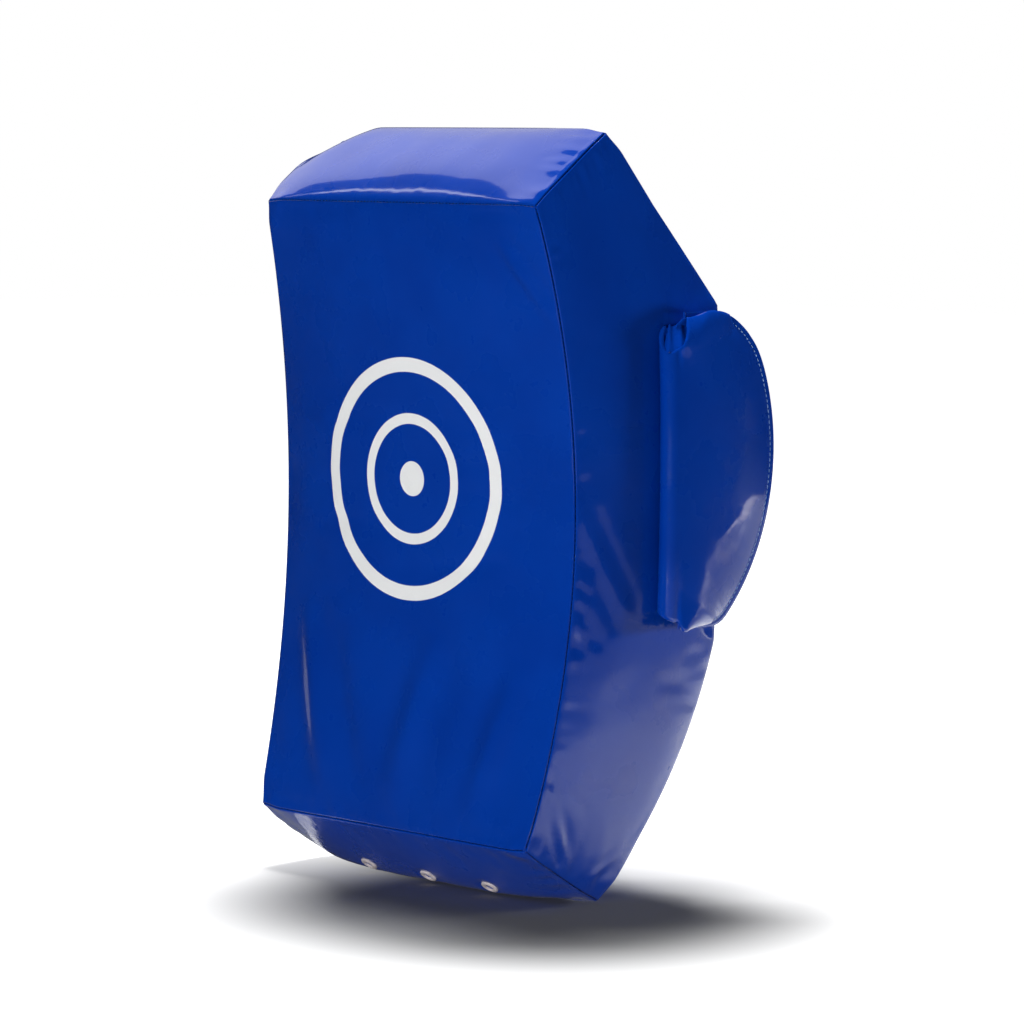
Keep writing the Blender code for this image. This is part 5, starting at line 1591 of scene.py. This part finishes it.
def zip_half(label, way):
    """One woven tape, and the coil sewn along its inner edge."""
    along = np.linspace(-TAPE_HALF, TAPE_HALF, 61)
    shares = np.linspace(0.0, 1.0, 9)
    points = np.zeros((len(along), len(shares), 3))
    for i, x in enumerate(along):
        for j, share in enumerate(shares):
            y = way * (COIL_SPLIT / 2.0 + TAPE_WIDTH * share)
            wave = 0.00025 * noise.noise(Vector((x / 0.03, y / 0.01, 3.0)))
            points[i, j] = ZIP_AXES @ Vector((x, y, wave - TAPE_SINK * share ** 2))
    tape = grid_object("zip_" + label + "_woven_tape", points, tape_weave)
    thicken(tape, "tape_thickness", TAPE_THICKNESS, 0.0)
    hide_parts("zip_tape_" + label)
    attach(tape, "shield")
    curve = bpy.data.curves.new("coil", "CURVE")
    curve.dimensions = "3D"
    curve.bevel_depth = COIL_WIRE
    curve.bevel_resolution = 1
    line = curve.splines.new("POLY")
    count = int(2.0 * COIL_HALF / COIL_PITCH) * COIL_STEPS
    line.points.add(count)
    for k in range(count + 1):
        turn = 2.0 * math.pi * k / COIL_STEPS
        x = -COIL_HALF + k / COIL_STEPS * COIL_PITCH
        y = way * (COIL_SPLIT / 2.0 + COIL_RADIUS + COIL_MIDLINE * math.cos(turn))
        line.points[k].co = (*(ZIP_AXES @ Vector((x, y, COIL_MIDLINE * math.sin(turn)))), 1.0)
    drawn = bpy.data.objects.new("coil", curve)
    bpy.context.scene.collection.objects.link(drawn)
    mesh = bpy.data.meshes.new_from_object(drawn)
    bpy.data.objects.remove(drawn)
    mesh.name = "zip_" + label + "_coil"
    mesh.materials.clear()
    mesh.materials.append(coil_finish)
    mesh.polygons.foreach_set("use_smooth", np.ones(len(mesh.polygons), bool))
    coil = bpy.data.objects.new("zip_" + label + "_coil", mesh)
    bpy.context.scene.collection.objects.link(coil)
    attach(coil, "shield")


coil_finish = rubber_finish("nylon_coil")
zip_metal = plated_metal("zip_nickel", (0.62, 0.62, 0.64, 1.0), 0.26, 0.00003)
zip_half("upper", -1.0)
zip_half("lower", 1.0)
refined("zip_slider", "zip_slider_body", zip_metal, "zip_slider", 0.0004, 3)
refined("zip_pull", "zip_pull_tab", zip_metal, "zip_pull", 0.00035, 3)
for label in ("left", "right"):
    refined("zip_stop_" + label, "zip_moulded_stop_" + label, coil_finish, "shield", 0.0003)

# Camera at the photograph's place: level with the shield's upper half, off its
# front right corner, with a long lens.

CAMERA_PLACE = (2.98448, -2.95882, 0.73178)
LOOK = Vector((-0.70600524, 0.70333813, -0.08289799))
UP = Vector((-0.0697053, 0.0474741, 0.99643734))

lens = bpy.data.cameras.new("camera")
lens.sensor_width = 36.0
lens.lens = 142.0
lens.clip_end = 100.0
camera = bpy.data.objects.new("camera", lens)
bpy.context.scene.collection.objects.link(camera)
sideways = LOOK.cross(UP).normalized()
upright = sideways.cross(LOOK).normalized()
turn = Matrix((sideways, upright, -LOOK)).transposed().to_4x4()
camera.matrix_world = Matrix.Translation(CAMERA_PLACE) @ turn
bpy.context.scene.camera = camera

# Studio: a white floor with a shadow by the shield's foot that is partly cast by the lamps
# and partly painted, dark and glowing boards that only reflections see, which paint what
# the shield reflects, and soft lamps. None of it is part of the shield.

FLOOR_SIZE = 30.0
# Middle and reach of the painted shadow: the floor's glow to the camera is nought within the first distance
# and full past the second.
SHADOW_MIDDLE = (0.165, -0.125, 0.0)
SHADOW_REACH = (0.17, 0.46)
# Past these distances, reflections see the floor fade to FLOOR_DARK: a painted darker floor in the shield's
# reflections.
REFLECTED_REACH = (0.80, 1.50)
# The floor's colour to the camera, kept low so that the painted shadow is deep; as reflections near the
# shield see it; and as bounced light and far reflections see it, painted darker.
FLOOR_LIGHT = (0.36, 0.36, 0.36, 1.0)
FLOOR_MIRRORED = (0.72, 0.72, 0.72, 1.0)
FLOOR_DARK = (0.22, 0.22, 0.22, 1.0)
BOARD_RADIUS = 3.4
BOARD_HEIGHT = 4.0
DARK_TINT = (0.9, 1.0, 1.0)
DARK_LEVEL = 0.012


def only_reflections(made):
    made.visible_camera = False
    made.visible_diffuse = False
    made.visible_shadow = False
    made.visible_transmission = False
    made.visible_volume_scatter = False


def glow(name, colour, strength):
    made = bpy.data.materials.new(name)
    made.use_nodes = True
    nodes, links = made.node_tree.nodes, made.node_tree.links
    nodes.clear()
    shader = nodes.new("ShaderNodeEmission")
    shader.inputs["Color"].default_value = (*colour, 1.0)
    shader.inputs["Strength"].default_value = strength
    out = nodes.new("ShaderNodeOutputMaterial")
    links.new(shader.outputs["Emission"], out.inputs["Surface"])
    return made


def graded_glow(name, colour, reach, levels, along):
    """Light that fades across a board, by the place along one direction."""
    made, nodes, links, shader, places = new_material(name)
    nodes.remove(shader)
    dot = nodes.new("ShaderNodeVectorMath")
    dot.operation = "DOT_PRODUCT"
    dot.inputs[1].default_value = along
    links.new(places.outputs["Object"], dot.inputs[0])
    light = nodes.new("ShaderNodeEmission")
    light.inputs["Color"].default_value = (*colour, 1.0)
    links.new(add_range(nodes, links, dot.outputs["Value"], *reach, *levels), light.inputs["Strength"])
    links.new(light.outputs["Emission"], nodes["Material Output"].inputs["Surface"])
    return made


def floor_paint():
    """A painted shadow over the lamps' own: white to the camera away from the shadow's middle and dark near
    it, and painted darker in what the shield reflects far off.
    """
    made, nodes, links, shader, places = new_material("white_floor_painted_shadow")
    shader.inputs["Roughness"].default_value = 0.9
    shader.inputs["Specular IOR Level"].default_value = 0.0
    shader.inputs["Emission Color"].default_value = (1.0, 1.0, 1.0, 1.0)
    rays = nodes.new("ShaderNodeLightPath").outputs
    away = nodes.new("ShaderNodeVectorMath")
    away.operation = "DISTANCE"
    links.new(places.outputs["Object"], away.inputs[0])
    away.inputs[1].default_value = SHADOW_MIDDLE
    # The camera sees the floor glow more the further it lies from the shadow's middle: this paints the
    # shadow's shape.
    level = add_range(nodes, links, away.outputs["Value"], *SHADOW_REACH, 0.0, 1.0)
    lift = add_math(nodes, links, "MULTIPLY", rays["Is Camera Ray"], level)
    links.new(lift, shader.inputs["Emission Strength"])
    # Far off, reflections see the floor darker: a painted dark reflection.
    beyond = add_range(nodes, links, away.outputs["Value"], *REFLECTED_REACH, 0.0, 1.0)
    far = add_math(nodes, links, "MULTIPLY", beyond, rays["Is Glossy Ray"])
    seen = add_mix(nodes, links, rays["Is Camera Ray"], FLOOR_MIRRORED, FLOOR_LIGHT)
    dim = add_mix(nodes, links, far, seen, FLOOR_DARK)
    links.new(add_mix(nodes, links, rays["Is Diffuse Ray"], dim, FLOOR_DARK), shader.inputs["Base Color"])
    return made


def flat_board(name, size, centre, facing, finish):
    bm = bmesh.new()
    bmesh.ops.create_grid(bm, x_segments=1, y_segments=1, size=0.5)
    bmesh.ops.scale(bm, vec=(*size, 1.0), verts=bm.verts)
    turn = Vector(facing).to_track_quat("Z", "Y").to_matrix().to_4x4()
    bmesh.ops.transform(bm, matrix=Matrix.Translation(centre) @ turn, verts=bm.verts)
    made = new_object(name, bm, finish)
    return made


flat_board("floor", (FLOOR_SIZE, FLOOR_SIZE), (0.0, 0.0, 0.0), (0.0, 0.0, 1.0), floor_paint())

# Dark boards round the studio that glow faintly and only reflections see: painted dark reflections.
bm = bmesh.new()
bmesh.ops.create_cone(bm, cap_ends=False, segments=64, radius1=BOARD_RADIUS, radius2=BOARD_RADIUS,
                      depth=BOARD_HEIGHT)
bmesh.ops.translate(bm, vec=(0.0, 0.0, BOARD_HEIGHT / 2.0 - 0.02), verts=bm.verts)
dark_boards = new_object("dark_boards", bm, glow("dark_board", DARK_TINT, DARK_LEVEL))
only_reflections(dark_boards)

# Each flat board's size, middle, facing and light. They glow only for reflections: the dark ones paint dark
# reflections, the reflectors paint highlights on the top panel and its front edge, and the mats on the floor
# paint a darker floor where the shield reflects it.
BOARDS = {
    "dark_ceiling": ((9.0, 9.0), (0.0, 0.0, BOARD_HEIGHT - 0.05), (0.0, 0.0, -1.0),
                     glow("dark_roof", DARK_TINT, DARK_LEVEL)),
    "top_reflector": ((2.6, 2.9), Vector((-0.706, 0.36, 0.70)) * 2.6 + Vector((-0.10, -0.28, 0.74)),
                      (0.706, -0.36, -0.70),
                      graded_glow("reflector_white", (1.0, 0.97, 1.0), (-0.30, 1.75), (1.42, 0.62),
                                  (0.0, 1.0, 0.0))),
    "edge_reflector": ((0.9, 0.06), Vector((-0.727, -0.31, 0.612)) * 2.4 + Vector((0.0, -0.15, 0.72)),
                       (0.0, 0.452, -0.892), glow("strip_white", (1.0, 1.0, 1.0), 5.0)),
    "dark_mat": ((4.6, 3.4), (-1.7, -1.95, 0.002), (0.0, 0.0, 1.0),
                 glow("mat_dark", (0.8, 1.0, 1.0), 0.014)),
    "grey_mat": ((0.70, 0.50), (-0.56, 0.0, 0.0015), (0.0, 0.0, 1.0),
                 glow("mat_grey", (0.95, 0.98, 1.0), 0.27)),
}
for name, board in BOARDS.items():
    only_reflections(flat_board(name, *board))


def soft_lamp(name, place, towards, size, power):
    lamp = bpy.data.lights.new(name, "AREA")
    lamp.shape = "RECTANGLE"
    lamp.size, lamp.size_y = size
    lamp.energy = power
    made = bpy.data.objects.new(name, lamp)
    made.location = place
    made.rotation_euler = (Vector(towards) - Vector(place)).to_track_quat("-Z", "Y").to_euler()
    made.visible_glossy = False
    bpy.context.scene.collection.objects.link(made)


soft_lamp("overhead_lamp", (-1.25, 1.12, 5.6), (0.0, 0.0, 0.0), (1.7, 1.7), 640.0)
soft_lamp("front_lamp", (1.5, -3.6, 0.24), (0.0, 0.0, 0.40), (1.3, 0.4), 116.0)
soft_lamp("rear_lamp", (1.5, 3.1, 0.32), (0.0, 0.0, 0.45), (0.9, 0.5), 82.0)


def surroundings():
    world = bpy.data.worlds.new("studio")
    bpy.context.scene.world = world
    world.use_nodes = True
    nodes, links = world.node_tree.nodes, world.node_tree.links
    back = nodes["Background"]
    back.inputs["Color"].default_value = (1.0, 1.0, 1.0, 1.0)
    rays = nodes.new("ShaderNodeLightPath").outputs
    seen = add_math(nodes, links, "MAXIMUM", rays["Is Camera Ray"], rays["Is Glossy Ray"])
    seen = add_math(nodes, links, "MAXIMUM", seen, rays["Is Transmission Ray"])
    strength = nodes.new("ShaderNodeMapRange")
    strength.inputs["To Min"].default_value = 0.03
    strength.inputs["To Max"].default_value = 1.0
    links.new(seen, strength.inputs["Value"])
    links.new(strength.outputs["Result"], back.inputs["Strength"])


surroundings()
bpy.context.scene.view_settings.view_transform = "Standard"
